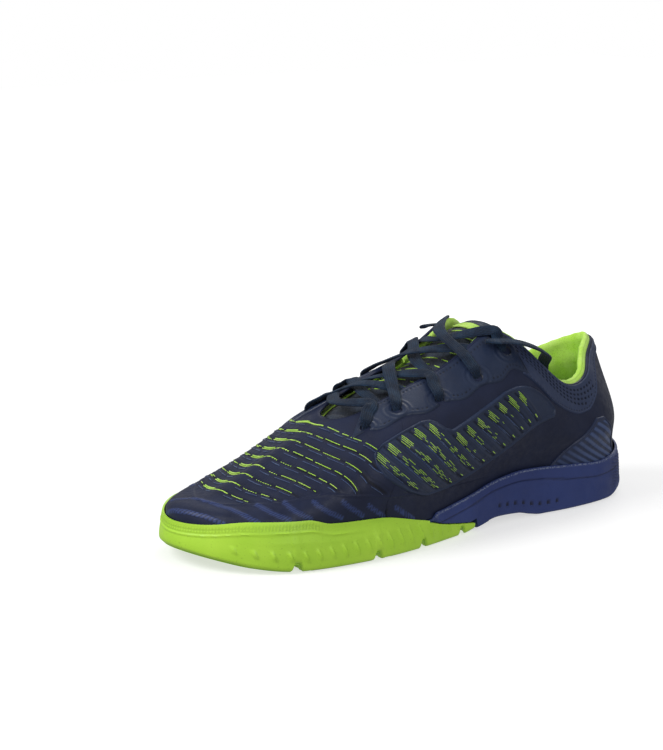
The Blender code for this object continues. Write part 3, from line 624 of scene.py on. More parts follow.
def vamp_rows(point):
    """Which of the vamp's cross rows a point is on, as a whole number at each groove."""
    x, y, z = point[..., 0], point[..., 1], point[..., 2]
    over = y - np.where(x > 0, 0.0058, 0.0075) * x ** 2
    side = (over - 120 + 1.1 * z) / 1.99
    return (np.where(z >= 47 + 0.9 * (over + 69), over, side) + 120) / ROW_PITCH


def rand_line(u):
    """Height w of the rand's upper edge."""
    return along(RAND_LINE, either_side(u))


def split(run, count):
    """Pairs of neighbouring points along a straight run in (u, w)."""
    points = np.linspace(run[0], run[1], count + 1)
    return list(zip(points, points[1:]))


def bar_distance(u, w):
    """Distance in mm from the nearest slanted bar or toe arc of the rand."""
    place, best = surface(u, w), np.full(np.shape(u), 99.0)
    runs = list(BARS) + [pair for arc in ARCS for pair in zip(arc, arc[1:])]
    runs += [[(ROUND - at, height) for at, height in bar] for bar in BARS]
    for start, end in [pair for run in runs for pair in split(run, 5)]:
        first = surface(*start)
        run = surface(*end) - first
        share = np.clip(((place - first) @ run) / (run @ run), 0, 1)
        best = np.minimum(best, np.linalg.norm(place - first - share[..., None] * run, axis=-1))
    return best


def skin_relief(u, w):
    """Height of the moulded pattern on the upper, and how much painted shade each point gets in the grooves.
    """
    place = surface(u, w)
    row = vamp_rows(place)
    line = rand_line(u)
    on_vamp = ease(-0.4, 0.1, row) * ease(8.0, 7.5, row) * ease(0.0, 0.04, w - line) * ease(0.985, 0.93, w)
    on_vamp = on_vamp * ease(5.4, 4.9, either_side(u))
    across = (row - np.round(row)) * ROW_PITCH
    groove = np.exp(-(across / 0.55) ** 2)
    swell = 0.35 * np.cos(np.pi * across / ROW_PITCH) ** 2
    second = np.exp(-((across - 1.9) / 0.3) ** 2)
    height = on_vamp * (0.25 + swell - 0.75 * groove - 0.25 * second)
    ridge = np.exp(-(((w - line) * 90) / 0.7) ** 2) * ease(7.0, 6.0, either_side(u))
    height = height + 0.45 * ridge
    bars = bar_distance(u, w)
    cells = ease(-0.75, -0.2, np.cos(2 * np.pi * (place[..., 0] + place[..., 1]) / HATCH_PITCH))
    hatch = ease(1.5, 1.1, bars) * cells
    height = height + 0.22 * ease(1.5, 1.0, bars) * (0.4 + 0.6 * cells)
    # The second value returned is painted shade in the vamp's grooves.
    return height, on_vamp * (0.95 * groove + 0.4 * second), hatch


def make_skin(name, node, start, end):
    u, w = np.meshgrid(round_steps(start, end, SKIN_STEP), np.linspace(0, 1, SKIN_ROWS), indexing="ij")
    relief, deep, hatch = skin_relief(u, w)
    edge = 1.1 * ease(0.988, 1.0, w) + 0.8 * ease(0.006, 0.0, w)
    return add_shell(name, u, w, relief - edge * 0.6, -PANEL, navy_skin, "shoe", "navy_synthetic", [node],
                     deep=deep, hatch=0.85 * hatch)


def make_vamp_lining():
    u, w = np.meshgrid(round_steps(-LINING_END, LINING_END, 1.6), np.linspace(0.12, RIM_W, 60), indexing="ij")
    add_shell("vamp_lining_knit", u, w, -LINING_DEPTH, -LINING_DEPTH - KNIT, lime_knit, "shoe", "lime_mesh",
              ["vamp_lining"])


make_skin("vamp_shell", "vamp", -QUARTER_FRONT, QUARTER_FRONT)
make_skin("quarter_shell_lateral", "quarter_lateral", QUARTER_FRONT + SEAM, HEEL - SEAM)
make_skin("quarter_shell_medial", "quarter_medial", HEEL + SEAM, ROUND - QUARTER_FRONT - SEAM)
make_vamp_lining()


# ---------------------------------------------------------------- sole

FLEX_LINES = (-106.0, -60.0, -28.0, 4.0)
INSERT_OUTLINE = [(-2, -104), (8, -90), (6, -78), (16, -66), (13, -52), (20, -40), (15, -26), (0, -14),
                  (-16, -24), (-24, -40), (-22, -60), (-16, -76), (-14, -92)]
INSERT_FRONT, INSERT_BACK, INSERT_DEPTH = -104.0, -14.0, 2.4
SLOT_PITCH, SLOT_FRONT, SLOT_BACK = 6.0, 34.0, 76.0
FIN_PITCH, FIN_FRONT, FIN_BACK = 7.3, -130.0, 8.0
CUP_CORNER = 2.5
HEEL_SPREAD = 2.8
DOT_PITCH = 1.7
RUBBER_STEP = 4 * GAP  # how far the foam stays off the heel rubber and the upper


def insert_sides(y):
    """Left and right edge of the pivot insert at y."""
    outline = np.array(INSERT_OUTLINE, dtype=float)
    tail = int(np.argmax(outline[:, 1]))
    right, left = outline[:tail + 1], np.vstack([outline[tail:], outline[:1]])[::-1]
    return np.interp(y, left[:, 1], left[:, 0]), np.interp(y, right[:, 1], right[:, 0])


def chevrons(x, y, middle, pitch=4.6, reach=9.0, slope=0.55, depth=1.1):
    """Height cut into a tread by zigzag grooves."""
    zigzag = np.abs(np.mod((x - middle) / reach, 2) - 1) * reach * slope
    wave = np.cos(2 * np.pi * (y + zigzag + 0.6 * np.sin(x / 3.1)) / pitch)
    return depth * ease(-0.15, 0.45, wave)


def flex_cut(x, y, depth=1.8):
    """Height cut into a tread by the grooves that run across it."""
    cut = np.zeros_like(y)
    for line in FLEX_LINES:
        cut = np.maximum(cut, bump(y - 0.004 * x ** 2 + 3, line, 2.0))
    return depth * np.minimum(cut * 1.6, 1)


def forefoot_tread(x, y, edge_gap):
    """Height cut into the green tread, and its share of painted shade in the cuts."""
    left, right = insert_sides(y)
    to_insert = np.maximum(np.maximum(left - x, x - right), np.maximum(INSERT_FRONT - y, y - INSERT_BACK))
    middle = along(SPINE_X, y)
    long_groove = np.maximum(bump(x - middle, 14, 1.6), bump(x - middle, -15, 1.6))
    long_groove = 1.7 * long_groove * ease(0, 4, edge_gap)
    pods = chevrons(x, y, middle) * ease(3.5, 4.5, edge_gap) * ease(2.6, 3.4, to_insert)
    border = 0.9 * bump(edge_gap, 3.2, 0.8)
    cut = np.maximum.reduce([pods, long_groove * ease(0.5, 1.5, to_insert), border,
                             flex_cut(x, y) * ease(0.5, 1.5, to_insert)])
    return np.where(to_insert < 0.6, INSERT_DEPTH + GAP, cut), np.clip(cut / 2.0, 0, 1)


def radial_rows(u, edge, count):
    """Plan places (columns, count, 2) from the spine to edge mm outside the foot, and their gap to it."""
    foot = closed_curve(ROWS[0], u)
    middle = spine(foot[:, 1])
    away = foot[:, :2] - middle
    length = np.linalg.norm(away, axis=1)
    reach = length + edge
    share = np.linspace(0, 1, count)
    place = middle[:, None] + (away / length[:, None])[:, None] * (reach[:, None] * share)[..., None]
    return place, reach[:, None] * (1 - share)


def stack(place, z):
    """Plan places with their heights."""
    return np.concatenate([place, z[..., None]], -1)


def side_rows(u, rows, outs):
    """Points on the side of the sole, one row for each height and distance out from the upper."""
    return wall(u, np.stack(rows, 1), np.stack([np.broadcast_to(out, u.shape) for out in outs], 1))


def notch(y):
    """Height that the bottom edge of the green cup is cut up by at the flex lines."""
    return sum(4.2 * np.minimum(1, 1.7 * bump(y, line, 3.2)) for line in FLEX_LINES)


def side_fins(y, above):
    """Thin moulded fins on the side of the cup, leaning back and longer towards the middle of the shoe."""
    found = np.zeros_like(above)
    for k, place in enumerate(np.arange(FIN_FRONT, FIN_BACK, FIN_PITCH)):
        size = min(4.0 + 0.5 * k, 11.5) * (1 - 0.5 * max(0, place + 20) / 28)
        low = 5.6 - 0.12 * k
        share = np.clip((above - low) / size, 0, 1)
        slim = np.sin(np.pi * share) ** 0.8 * np.clip((place + 148) / 34, 0.2, 1)
        across = y - place + 0.38 * (above - low)
        found = np.maximum(found, slim * np.where(across < 0, bump(across, 0, 2.2), bump(across, 0, 0.6)))
    return found


def make_forefoot():
    u = round_steps(u_at(GREEN_END, medial=True) - ROUND, u_at(GREEN_END), 0.5, 0.0)
    foot = closed_curve(ROWS[0], u)
    place, gap = radial_rows(u, SOLE_LIP - CUP_CORNER, 58)
    cut, dark = forefoot_tread(place[..., 0], place[..., 1], gap)
    cut = np.maximum(cut, np.minimum(notch(place[..., 1]), 3.6) * ease(7, 3, gap))
    tread = stack(place, along(TREAD, place[..., 1]) + cut)
    ground = along(TREAD, side_rows(u, [0 * u], [SOLE_LIP])[:, 0, 1])
    top = np.maximum(along(GREEN_TOP, foot[:, 1]), ground + 3.5)
    cupped = ease(0, 2.5, top - foot[:, 2])
    share = np.linspace(0, 1, 34)
    low = np.minimum(ground + notch(foot[:, 1]), top - 1.5)
    rise = low[:, None] + (top - low)[:, None] * share
    rounding = CUP_CORNER * np.sqrt(1 - (1 - np.clip((rise - low[:, None]) / 2.6, 0, 1)) ** 2)
    lean = 1.7 * cupped[:, None] * ease(0.2, 1.0, share)[None]
    y = np.broadcast_to(foot[:, 1:2], rise.shape)
    below = top[:, None] - rise
    above = rise - ground[:, None]
    fins = side_fins(y, above)
    length = lengths(foot[:, :2])[:, None]
    dots = np.cos(np.pi * (length + below) / DOT_PITCH) * np.cos(np.pi * (length - below) / DOT_PITCH)
    dotted = ease(1.2, 1.7, below) * ease(4.6, 4.0, below) * ease(-90, -94, y)
    dots = ease(0.0, 0.6, dots) * dotted
    ridge = bump(below, 5.3, 0.9) * ease(-60, -84, y)
    lip = bump(below, 0.6, 1.0)
    out = SOLE_LIP - CUP_CORNER + rounding - lean + 1.1 * fins + 0.25 * dots + 0.45 * ridge + 0.15 * lip - 0.3
    side = wall(u, rise, out)
    step = np.minimum(foot[:, 2], top - 0.1)
    inner = side_rows(u, [top, step + (top - step) * 0.5, step], [LAYER_GAP] * 3)
    lift = np.minimum(OUTSOLE, top - GAP - ground)[:, None]
    inside, _ = radial_rows(u, GAP, 5)
    floor = stack(inside, along(TREAD, inside[..., 1]) + lift)[:, ::-1]
    # Painted shade: in the tread cuts and in the hollows between the raised dots on the cup's side.
    shade = 0.25 * ease(0.55, 0.0, dots) * dotted
    deep = np.concatenate([dark * 0.5, shade, np.zeros((len(u), 8))], 1)
    rings = np.concatenate([tread, side, inner, floor], 1)
    add_rings("forefoot_cup", rings, False, False, lime_rubber, "shoe", "lime_rubber", ["outsole_forefoot"],
              deep=deep)


def make_insert():
    y = np.linspace(INSERT_FRONT + 0.1, INSERT_BACK - 0.1, 150)
    left, right = insert_sides(y)
    share = np.linspace(0, 1, 72)
    x = left[:, None] + (right - left)[:, None] * share
    y = np.broadcast_to(y[:, None], x.shape)
    edge = np.minimum(x - left[:, None], right[:, None] - x)
    cut = chevrons(x, y, 0.0, 4.2, 7.0, 0.8, 1.0) * ease(1.2, 2.0, edge) + 0.9 * bump(edge, 1.5, 0.6)
    cut = np.maximum(cut, flex_cut(x, y, 1.4))
    bottom = np.stack([x, y, cut], -1)
    top = np.stack([x, y, np.full(x.shape, INSERT_DEPTH)], -1)[:, ::12][:, ::-1]
    # Painted shade in the tread grooves.
    deep = np.concatenate([np.clip(cut, 0, 1) * 0.6, np.zeros(top.shape[:2])], 1)
    add_rings("pivot_insert", np.concatenate([bottom, top], 1), False, True, black_rubber, "shoe",
              "black_rubber", ["outsole_pivot_insert"], deep=deep)


def make_heel_tread():
    u = round_steps(u_at(HEEL_START), u_at(HEEL_START, medial=True), 0.8, 0.0)
    place, gap = radial_rows(u, 0.8, 56)
    x, y = place[..., 0], place[..., 1]
    cut = chevrons(x, y, 2.0, 5.0, 8.0, -0.6, 1.1) * ease(3.5, 4.5, gap)
    cut = np.maximum(cut, 0.9 * bump(gap, 3.2, 0.8))
    cut = np.maximum(cut, 1.6 * bump(x - 2.0, 0, 1.6) * ease(1, 4, gap))
    cut = np.maximum(cut, 1.6 * np.maximum(bump(y, 60, 2.0), bump(y, 92, 2.0)))
    cut = np.where(y < 30, 0, cut)
    tread = stack(place, along(TREAD, y) + cut)
    low = along(TREAD, side_rows(u, [0 * u], [HEEL_SPREAD])[:, 0, 1])
    side = side_rows(u, [low + 0.3, low + 1.0], [2.0, 2.4])
    over, _ = radial_rows(u, HEEL_SPREAD, 6)
    over = stack(over, along(TREAD, over[..., 1]) + along(HEEL_RUBBER, over[..., 1]))[:, ::-1]
    # Painted shade in the tread grooves.
    deep = np.concatenate([np.clip(cut, 0, 1) * 0.6, np.zeros((len(u), 8))], 1)
    add_rings("heel_tread", np.concatenate([tread, side, over], 1), False, False, heel_rubber, "shoe",
              "heel_rubber", ["outsole_heel"], deep=deep)


def make_midsole():
    u = round_steps(0, ROUND, 0.8, 0.0)[:-1]
    foot = closed_curve(ROWS[0], u)
    y = foot[:, 1]
    behind = y > GREEN_END + 2
    seen = ease(*BRIM_START, y)
    out_low = np.where(behind, SOLE_LIP, 0.0)
    out_high = np.where(behind, SOLE_LIP, SOLE_LIP * seen)
    place, _ = radial_rows(u, out_low - 1.5, 14)
    over_rubber = along(HEEL_RUBBER, place[..., 1]) + RUBBER_STEP
    heel = y > HEEL_START - 1
    under = np.where(heel[:, None], over_rubber, np.where(behind[:, None], 0.0, OUTSOLE + GAP))
    bottom = stack(place, along(TREAD, place[..., 1]) + under)
    low = bottom[:, -1, 2]
    cover = np.where(behind, low + 1.5, np.maximum(along(GREEN_TOP, y) + GAP, low + 1.0))
    cover = np.minimum(cover, foot[:, 2] - 1.0)
    ground = low - np.where(heel, under[:, -1], 0)
    cover = np.where(heel, ground + 1.5, cover)
    low = np.where(heel, low, np.minimum(low + 0.5, cover - 0.3))
    skirt = np.where(heel, ground + 0.5, low)
    out_skirt = np.where(heel, SOLE_LIP - 0.5, out_low)
    top = (1 - seen) * (foot[:, 2] - 0.5) + seen * along(BLUE_TOP, y)
    inside = seen * RUBBER_STEP - (1 - seen) * GAP
    share = np.linspace(0, 1, 40)
    start, end = cover + 0.3, top - 0.3
    z = start[:, None] + (end - start)[:, None] * share
    out = out_high[:, None] + ((RUBBER_STEP + 1.2) * seen - out_high)[:, None] * share ** 2
    down, up = end[:, None] - z, z - start[:, None]
    yy = np.broadcast_to(y[:, None], z.shape)
    crease = bump(down, 5.0 + 2.5 * ease(20, 90, yy), 0.7)
    slots = ease(0.3, 0.7, np.cos(2 * np.pi * (yy - SLOT_FRONT) / SLOT_PITCH)) * bump(up, 4.2, 2.4)
    slots = slots * ease(SLOT_FRONT - 3, SLOT_FRONT - 2, yy) * ease(SLOT_BACK + 3, SLOT_BACK + 2, yy)
    ribs = ease(-0.2, 0.4, np.cos(2 * np.pi * (z + 0.25 * yy) / 1.7)) * ease(118, 124, yy)
    ribs = ribs * ease(1.0, 2.0, up) * ease(1.5, 2.5, down)
    lip = bump(down, 0.9, 1.2)
    relief = 0.25 * lip - 0.25 - 0.5 * crease - 0.7 * np.minimum(1, 1.6 * slots) - 0.35 * ribs
    side = wall(u, z, out + relief * seen[:, None])
    # Painted shade in the crease, the slots and the ribs of the foam wall.
    deep_side = np.clip(0.6 * crease + slots + 0.4 * ribs, 0, 1) * seen[:, None]
    feet = side_rows(u, [low, skirt, cover], [out_skirt, out_skirt, out_low])
    brim = side_rows(u, [top, foot[:, 2] - LAYER_GAP], [inside, inside])
    over, _ = radial_rows(u, -2.2, 4)
    over = stack(over, along(FEATHER, over[..., 1]) - LAYER_GAP)[:, ::-1]
    rings = np.concatenate([bottom, feet, side, brim, over], 1)
    blank = np.zeros((len(u), 17))
    deep = np.concatenate([blank, deep_side, blank[:, :6]], 1)
    # Pale band along the top lip of the foam: partly scuffing, partly a painted edge highlight.
    scuff_and_highlight = np.concatenate([blank, 0.7 * bump(down, 0.5, 0.9) * seen[:, None], blank[:, :6]], 1)
    add_rings("midsole_foam", rings, True, False, blue_foam, "shoe", "blue_foam", ["midsole"], deep=deep,
              hatch=scuff_and_highlight)


def make_sockliner():
    u = round_steps(0, ROUND, 2.0, 0.0)[:-1]
    depth, above, thick = 5.8, 1.5, 4.0
    foot = closed_curve(ROWS[0], u)
    edge = offset(u, 0.09, -depth)[:, :2]
    middle = spine(foot[:, 1])
    share = np.concatenate([np.linspace(0, 0.93, 26), [0.97, 0.99, 1.0]])
    place = middle[:, None] + (edge - middle)[:, None] * share[:, None]
    dish = 0.7 * (share ** 4)[None] - 0.9 * ease(0.95, 1.0, share)[None]
    top = stack(place, along(FEATHER, place[..., 1]) + above + thick + dish - 0.7)
    low = stack(place[:, ::7], along(FEATHER, place[:, ::7, 1]) + above)
    add_rings("sockliner_knit", np.concatenate([low, top[:, ::-1]], 1), True, False, lime_knit, "shoe",
              "sockliner_cloth", ["sockliner"])


make_forefoot()
make_insert()
make_heel_tread()
make_midsole()
make_sockliner()


# ---------------------------------------------------------------- pieces laid on the upper

RIB_SHARE, RIB_SLANT, RIB_START, RIB_COUNT = 0.323, 3.3, 5.98, 12
HEEL_PANEL = [(8.5, 0.10), (9.2, 0.25), (9.9, 0.42), (10.5, 0.58), (10.8, 0.57), (11.25, 0.34), (11.65, 0.07)]
COLLAR_LOW = [(7.95, 0.72), (8.85, 0.64), (9.99, 0.63), (10.41, 0.66), (11.30, 0.84), (12.0, 0.90),
              (13.0, 0.91)]
EYESTAY_FRONT, EYESTAY_BACK = 3.2, 8.25
HOLE_PITCH, STRIPE_PITCH = 3.0, 3.5
SUNK = -0.7  # the underside of a piece laid on the upper
MM_PER_U = 24


def line_at(points, u):
    """Height w at u on a line of straight runs."""
    return np.interp(u, *zip(*points))


def patch_grid(u, low, high, rows):
    """Places (u, w) of a patch of the upper that runs up from low to high."""
    w = low[:, None] + (high - low)[:, None] * np.linspace(0, 1, rows)
    return np.broadcast_to(u[:, None], w.shape), w


def mm_per_w(u):
    """Length in mm on the side of the upper for each step of 1 in w."""
    return np.linalg.norm(surface(u, 0.75) - surface(u, 0.35), axis=-1) / 0.4


def rib_number(u, w):
    """Which rib of the side window a place is on, as a whole number on each rib's bright edge."""
    return (either_side(u) + RIB_SLANT * w - RIB_START) / RIB_SHARE


def window_relief(u, w):
    """Height of the side window above the upper, and its share of painted shade in the rib grooves."""
    place = either_side(u)
    low, high = line_at(WINDOW_LOW, place), line_at(WINDOW_HIGH, place)
    scale = mm_per_w(u)
    ends = np.minimum(place - WINDOW_LOW[0][0], WINDOW_LOW[-1][0] - place) * 31 + 0.4
    edge = np.minimum(np.minimum(w - low, high - w) * scale, ends)
    rib = rib_number(u, w)
    across = (rib - np.round(rib)) * ROW_PITCH
    inside = ease(2.6, 3.6, edge) * ease(-0.5, -0.2, rib) * ease(RIB_COUNT - 0.3, RIB_COUNT - 0.7, rib)
    groove = np.exp(-((across + 1.5) / 0.55) ** 2)
    fine = np.exp(-((across - 1.6) / 0.28) ** 2) + np.exp(-((across - 2.9) / 0.22) ** 2)
    swell = 0.5 * np.cos(np.pi * (across - 1.8) / ROW_PITCH) ** 2
    height = 0.55 * ease(0.0, 0.9, edge) - 0.6 * ease(0.6, 0.0, edge) + 0.75 * bump(edge, 1.7, 1.3)
    height = height + inside * (swell - 0.8 * groove - 0.22 * fine)
    return height, inside * np.clip(groove + 0.45 * fine, 0, 1)


def make_window(side):
    u = round_steps(WINDOW_LOW[0][0] + 0.01, WINDOW_LOW[-1][0] - 0.01, 0.55, 0.5)
    u, w = patch_grid(u, line_at(WINDOW_LOW, u), line_at(WINDOW_HIGH, u), 84)
    u = from_side(u, side)
    height, deep = window_relief(u, w)
    add_shell("window_" + side, u, w, height, SUNK, window_film, "shoe", "ribbed_film",
              ["side_window_" + side], deep=deep)


def eyestay_low(u):
    """Height w of the eyestay's wavy lower edge."""
    return 0.765 - 0.03 * ease(5.0, 8.0, u) + 0.014 * np.cos(2 * np.pi * (u - 3.6) / 1.0)


def eyelet_gap(u, w):
    """Distance in mm to the nearest eyelet on either side."""
    place, best = surface(u, w), np.full(np.shape(u), 99.0)
    for hole_u, hole_w in EYELETS:
        for side in ("lateral", "medial"):
            best = np.minimum(best, np.linalg.norm(place - surface(from_side(hole_u, side), hole_w), axis=-1))
    return best


def make_eyestay(side):
    u = round_steps(EYESTAY_FRONT, EYESTAY_BACK, 0.6, 0.85)
    low, scale = eyestay_low(u), mm_per_w(u)[:, None]
    place, w = patch_grid(u, low, RIM_W, 44)
    ends = np.minimum(place - EYESTAY_FRONT, EYESTAY_BACK - place) * MM_PER_U
    edge = np.minimum(np.minimum(w - low[:, None], RIM_W - w) * scale, ends)
    u = from_side(place, side)
    hole = eyelet_gap(u, w)
    height = 0.75 * ease(0.0, 1.5, edge) - 0.6 * ease(0.5, 0.0, edge)
    height = height + 0.35 * bump(hole, 4.8, 1.4) + 0.2 * bump(hole, 7.6, 1.2) - 1.1 * ease(2.8, 2.2, hole)
    stitch = bump(edge, 3.0, 0.7) * ease(0.1, 0.5, np.cos(2 * np.pi * place * MM_PER_U / 2.6))
    stitch = stitch * ease(7.5, 8.4, hole)
    # Painted shade in the eyelet holes and the stitch dents.
    deep = np.clip(ease(3.0, 2.4, hole) + 0.9 * stitch, 0, 1)
    add_shell("eyestay_film_" + side, u, w, height - 0.3 * stitch, SUNK, navy_film, "shoe", "navy_film",
              ["eyestay_" + side], deep=deep)


def make_heel_panel(side):
    front, back = HEEL_PANEL[0][0], HEEL_PANEL[-1][0]
    u = round_steps(front, back, 0.55, 0.3)
    high, scale = line_at(HEEL_PANEL, u), mm_per_w(u)[:, None]
    place, w = patch_grid(u, 0 * u + 0.045, high, 70)
    edge = np.minimum((high[:, None] - w) * scale, np.minimum(place - front, back - place) * 22 + 0.5)
    u = from_side(place, side)
    point = surface(u, w)
    phase = (point[..., 1] * 0.49 + point[..., 2] * 0.87) / STRIPE_PITCH
    stripe = ease(-0.25, 0.15, np.cos(2 * np.pi * phase)) * ease(2.4, 3.2, edge)
    height = 0.5 * ease(0, 0.8, edge) - 0.6 * ease(0.5, 0, edge) + 0.6 * bump(edge, 1.4, 1.2) + 0.22 * stripe
    deep = 1 - stripe * (0.5 + 0.5 * ease(9.2, 10.4, place))
    add_shell("heel_stripes_" + side, u, w, height, SUNK, stripe_film, "shoe", "navy_film",
              ["heel_overlay_" + side], deep=deep * 0.8)


def make_collar_panel():
    front = COLLAR_LOW[0][0]
    u = round_steps(front, ROUND - front, 0.5, 0.85)
    low, scale = line_at(COLLAR_LOW, either_side(u)), mm_per_w(u)[:, None]
    place, w = patch_grid(u, low, RIM_W, 62)
    length = lengths(surface(u, 0.85))[:, None]
    above, top = (w - low[:, None]) * scale, (RIM_W - w) * scale
    edge = np.minimum(np.minimum(above, top), np.minimum(length, length[-1] - length))
    row = (top - 4.0) / HOLE_PITCH
    shift = np.mod(np.round(row), 2) / 2
    column = length / HOLE_PITCH + shift
    hole = np.hypot(row - np.round(row), column - np.round(column)) * HOLE_PITCH
    holes = ease(0.85, 0.6, hole) * (np.round(row) >= 0) * (np.round(row) <= 3) * ease(3.6, 4.2, above)
    holes = holes * (either_side(place) < 11.0)
    stitch = bump(above, 2.0, 0.6) * ease(0.0, 0.5, np.cos(2 * np.pi * length / 2.4))
    height = 0.55 * ease(0, 1.0, edge) - 0.6 * ease(0.4, 0, edge) + 0.3 * bump(above, 0.9, 0.8)
    height = height - 0.65 * holes - 0.25 * stitch
    # The deep mask below is painted shade in the perforations and the stitch dents.
    add_shell("collar_skin", place, w, height, SUNK, panel_skin, "shoe", "perforated_navy", ["collar_panel"],
              deep=np.clip(holes + 0.8 * stitch, 0, 1))


def pad(u, w):
    """Extra depth of the collar padding, full from the ankle to the heel and fading forward and down."""
    back = ease(7.6, 9.0, u) * ease(ROUND - 7.0, ROUND - 8.6, u)
    return 4.2 * back * ease(0.45, 0.75, w) * (1 - 0.55 * ease(0.85, 1.0, w))


def make_collar_roll():
    """Padded lining: down the inside, over the rim and a little way down behind the upper."""
    u = round_steps(6.02, ROUND - 6.02, 1.3, 0.9)
    ways = np.array([0.12, 0.3, 0.5, 0.7, 0.85, 0.95, 1.0])
    column = u[:, None]
    mouth = ease(6.6, 8.8, either_side(column))
    outer = offset(column, ways, -PANEL - 0.15)
    down = np.linspace(1.0, 0.12, 40)
    swell = 0.5 * mouth * ease(0.5, 0.8, down) * np.sin(np.pi * np.clip((down - 0.5) / 0.5, 0, 1))
    depth = 4.3 + pad(column, down) + swell + 0.25 * np.sin(column * 9 + down * 5) * mouth
    inner = offset(column, down, -depth)
    up = unit(surface(u, 1.0) - surface(u, 0.96))
    share = np.linspace(0, 1, 14)[1:-1]
    rise = (0.5 + 2.6 * mouth) * np.sin(np.pi * share) ** 0.7 * (1 + 0.05 * np.sin(column * 23))
    over = outer[:, -1:] + (inner[:, :1] - outer[:, -1:]) * share[:, None] + up[:, None] * rise[..., None]
    seam = np.zeros((len(u), len(ways) + len(share) + len(down)))
    seam[:, len(ways) + 1] = 0.5
    item = add_rings("collar_roll", np.concatenate([outer, over, inner], 1), False, True, lime_rim, "shoe",
                     "lime_mesh", ["collar_lining", "collar_foam"], deep=seam)


for part_side in ("lateral", "medial"):
    make_window(part_side)
    make_eyestay(part_side)
    make_heel_panel(part_side)
make_collar_panel()
make_collar_roll()


# ---------------------------------------------------------------- threads that show through the upper

def strip_rings(place, normal, width, thick, blunt=0.15):
    """Rings of a thin thread along place, rounded on top; the larger blunt is, the more its ends taper."""
    side = np.cross(unit(np.gradient(place, axis=0)), normal)
    taper = (np.sin(np.pi * np.linspace(0.12, 0.88, len(place))) ** blunt)[:, None]
    section = [(-0.5, -0.25), (-0.38, 0.7), (0.0, 1.0), (0.38, 0.7), (0.5, -0.25)]
    return np.stack([place + (side * a * width + normal * b * thick) * taper for a, b in section], 1)


def add_strips(name, strips, *look):
    """Many threads joined in one piece."""
    points, faces, start = [], [], 0
    for strip in strips:
        faces += ring_faces(strip.shape[0], strip.shape[1], False, True, start)
        points.append(strip.reshape(-1, 3))
        start += strip.shape[0] * strip.shape[1]
    add_object(name, np.concatenate(points), faces, *look)


def dashes(rng, u, w, lift, pattern, width, thick=0.3):
    """Broken threads along a line: pattern lists (start mm, end mm, sideways mm)."""
    length = lengths(surface(u, w))
    found = []
    for start, end, aside in pattern:
        start, end = max(start, 0.0), min(end, length[-1])
        if end - start < 1.2:
            continue
        at = np.linspace(start, end, max(3, int((end - start) / 0.9)))
        here_u, here_w = np.interp(at, length, u), np.interp(at, length, w)
        here_w = here_w + aside / 80
        height = lift(here_u, here_w) + 0.02 * rng.standard_normal()
        found.append(strip_rings(offset(here_u, here_w, height), outward(here_u, here_w), width, thick))
    return found


def window_line(rib, side, count=60):
    """(u, w) from the top to the bottom of a rib of the side window."""
    w = np.linspace(0.74, 0.2, 300)
    u = RIB_START + rib * RIB_SHARE - RIB_SLANT * w
    inside = (w > line_at(WINDOW_LOW, u) + 0.05) & (w < line_at(WINDOW_HIGH, u) - 0.045)
    inside &= (u > WINDOW_LOW[0][0]) & (u < WINDOW_LOW[-1][0])
    u, w = u[inside], w[inside]
    pick = np.linspace(0, len(u) - 1, count).round().astype(int)
    return from_side(u[pick], side), w[pick]


def row_line(row, start, end, count=140):
    """(u, w) along one of the vamp's rows between two places round the toe."""
    w = np.linspace(0.15, 0.99, 240)
    found = []
    for u in np.linspace(start, end, count):
        number = vamp_rows(surface(np.full(w.shape, u), w))
        signs = np.nonzero(np.diff(np.sign(number - row)))[0]
        if len(signs):
            k = signs[-1]
            share = (row - number[k]) / (number[k + 1] - number[k])
            found.append((u, w[k] + share * (w[k + 1] - w[k])))
    return np.array(found).T if found else np.zeros((2, 0))


def skin_lift(u, w):
    return skin_relief(u, w)[0] + 0.14


def window_lift(u, w):
    return window_relief(u, w)[0] + 0.10


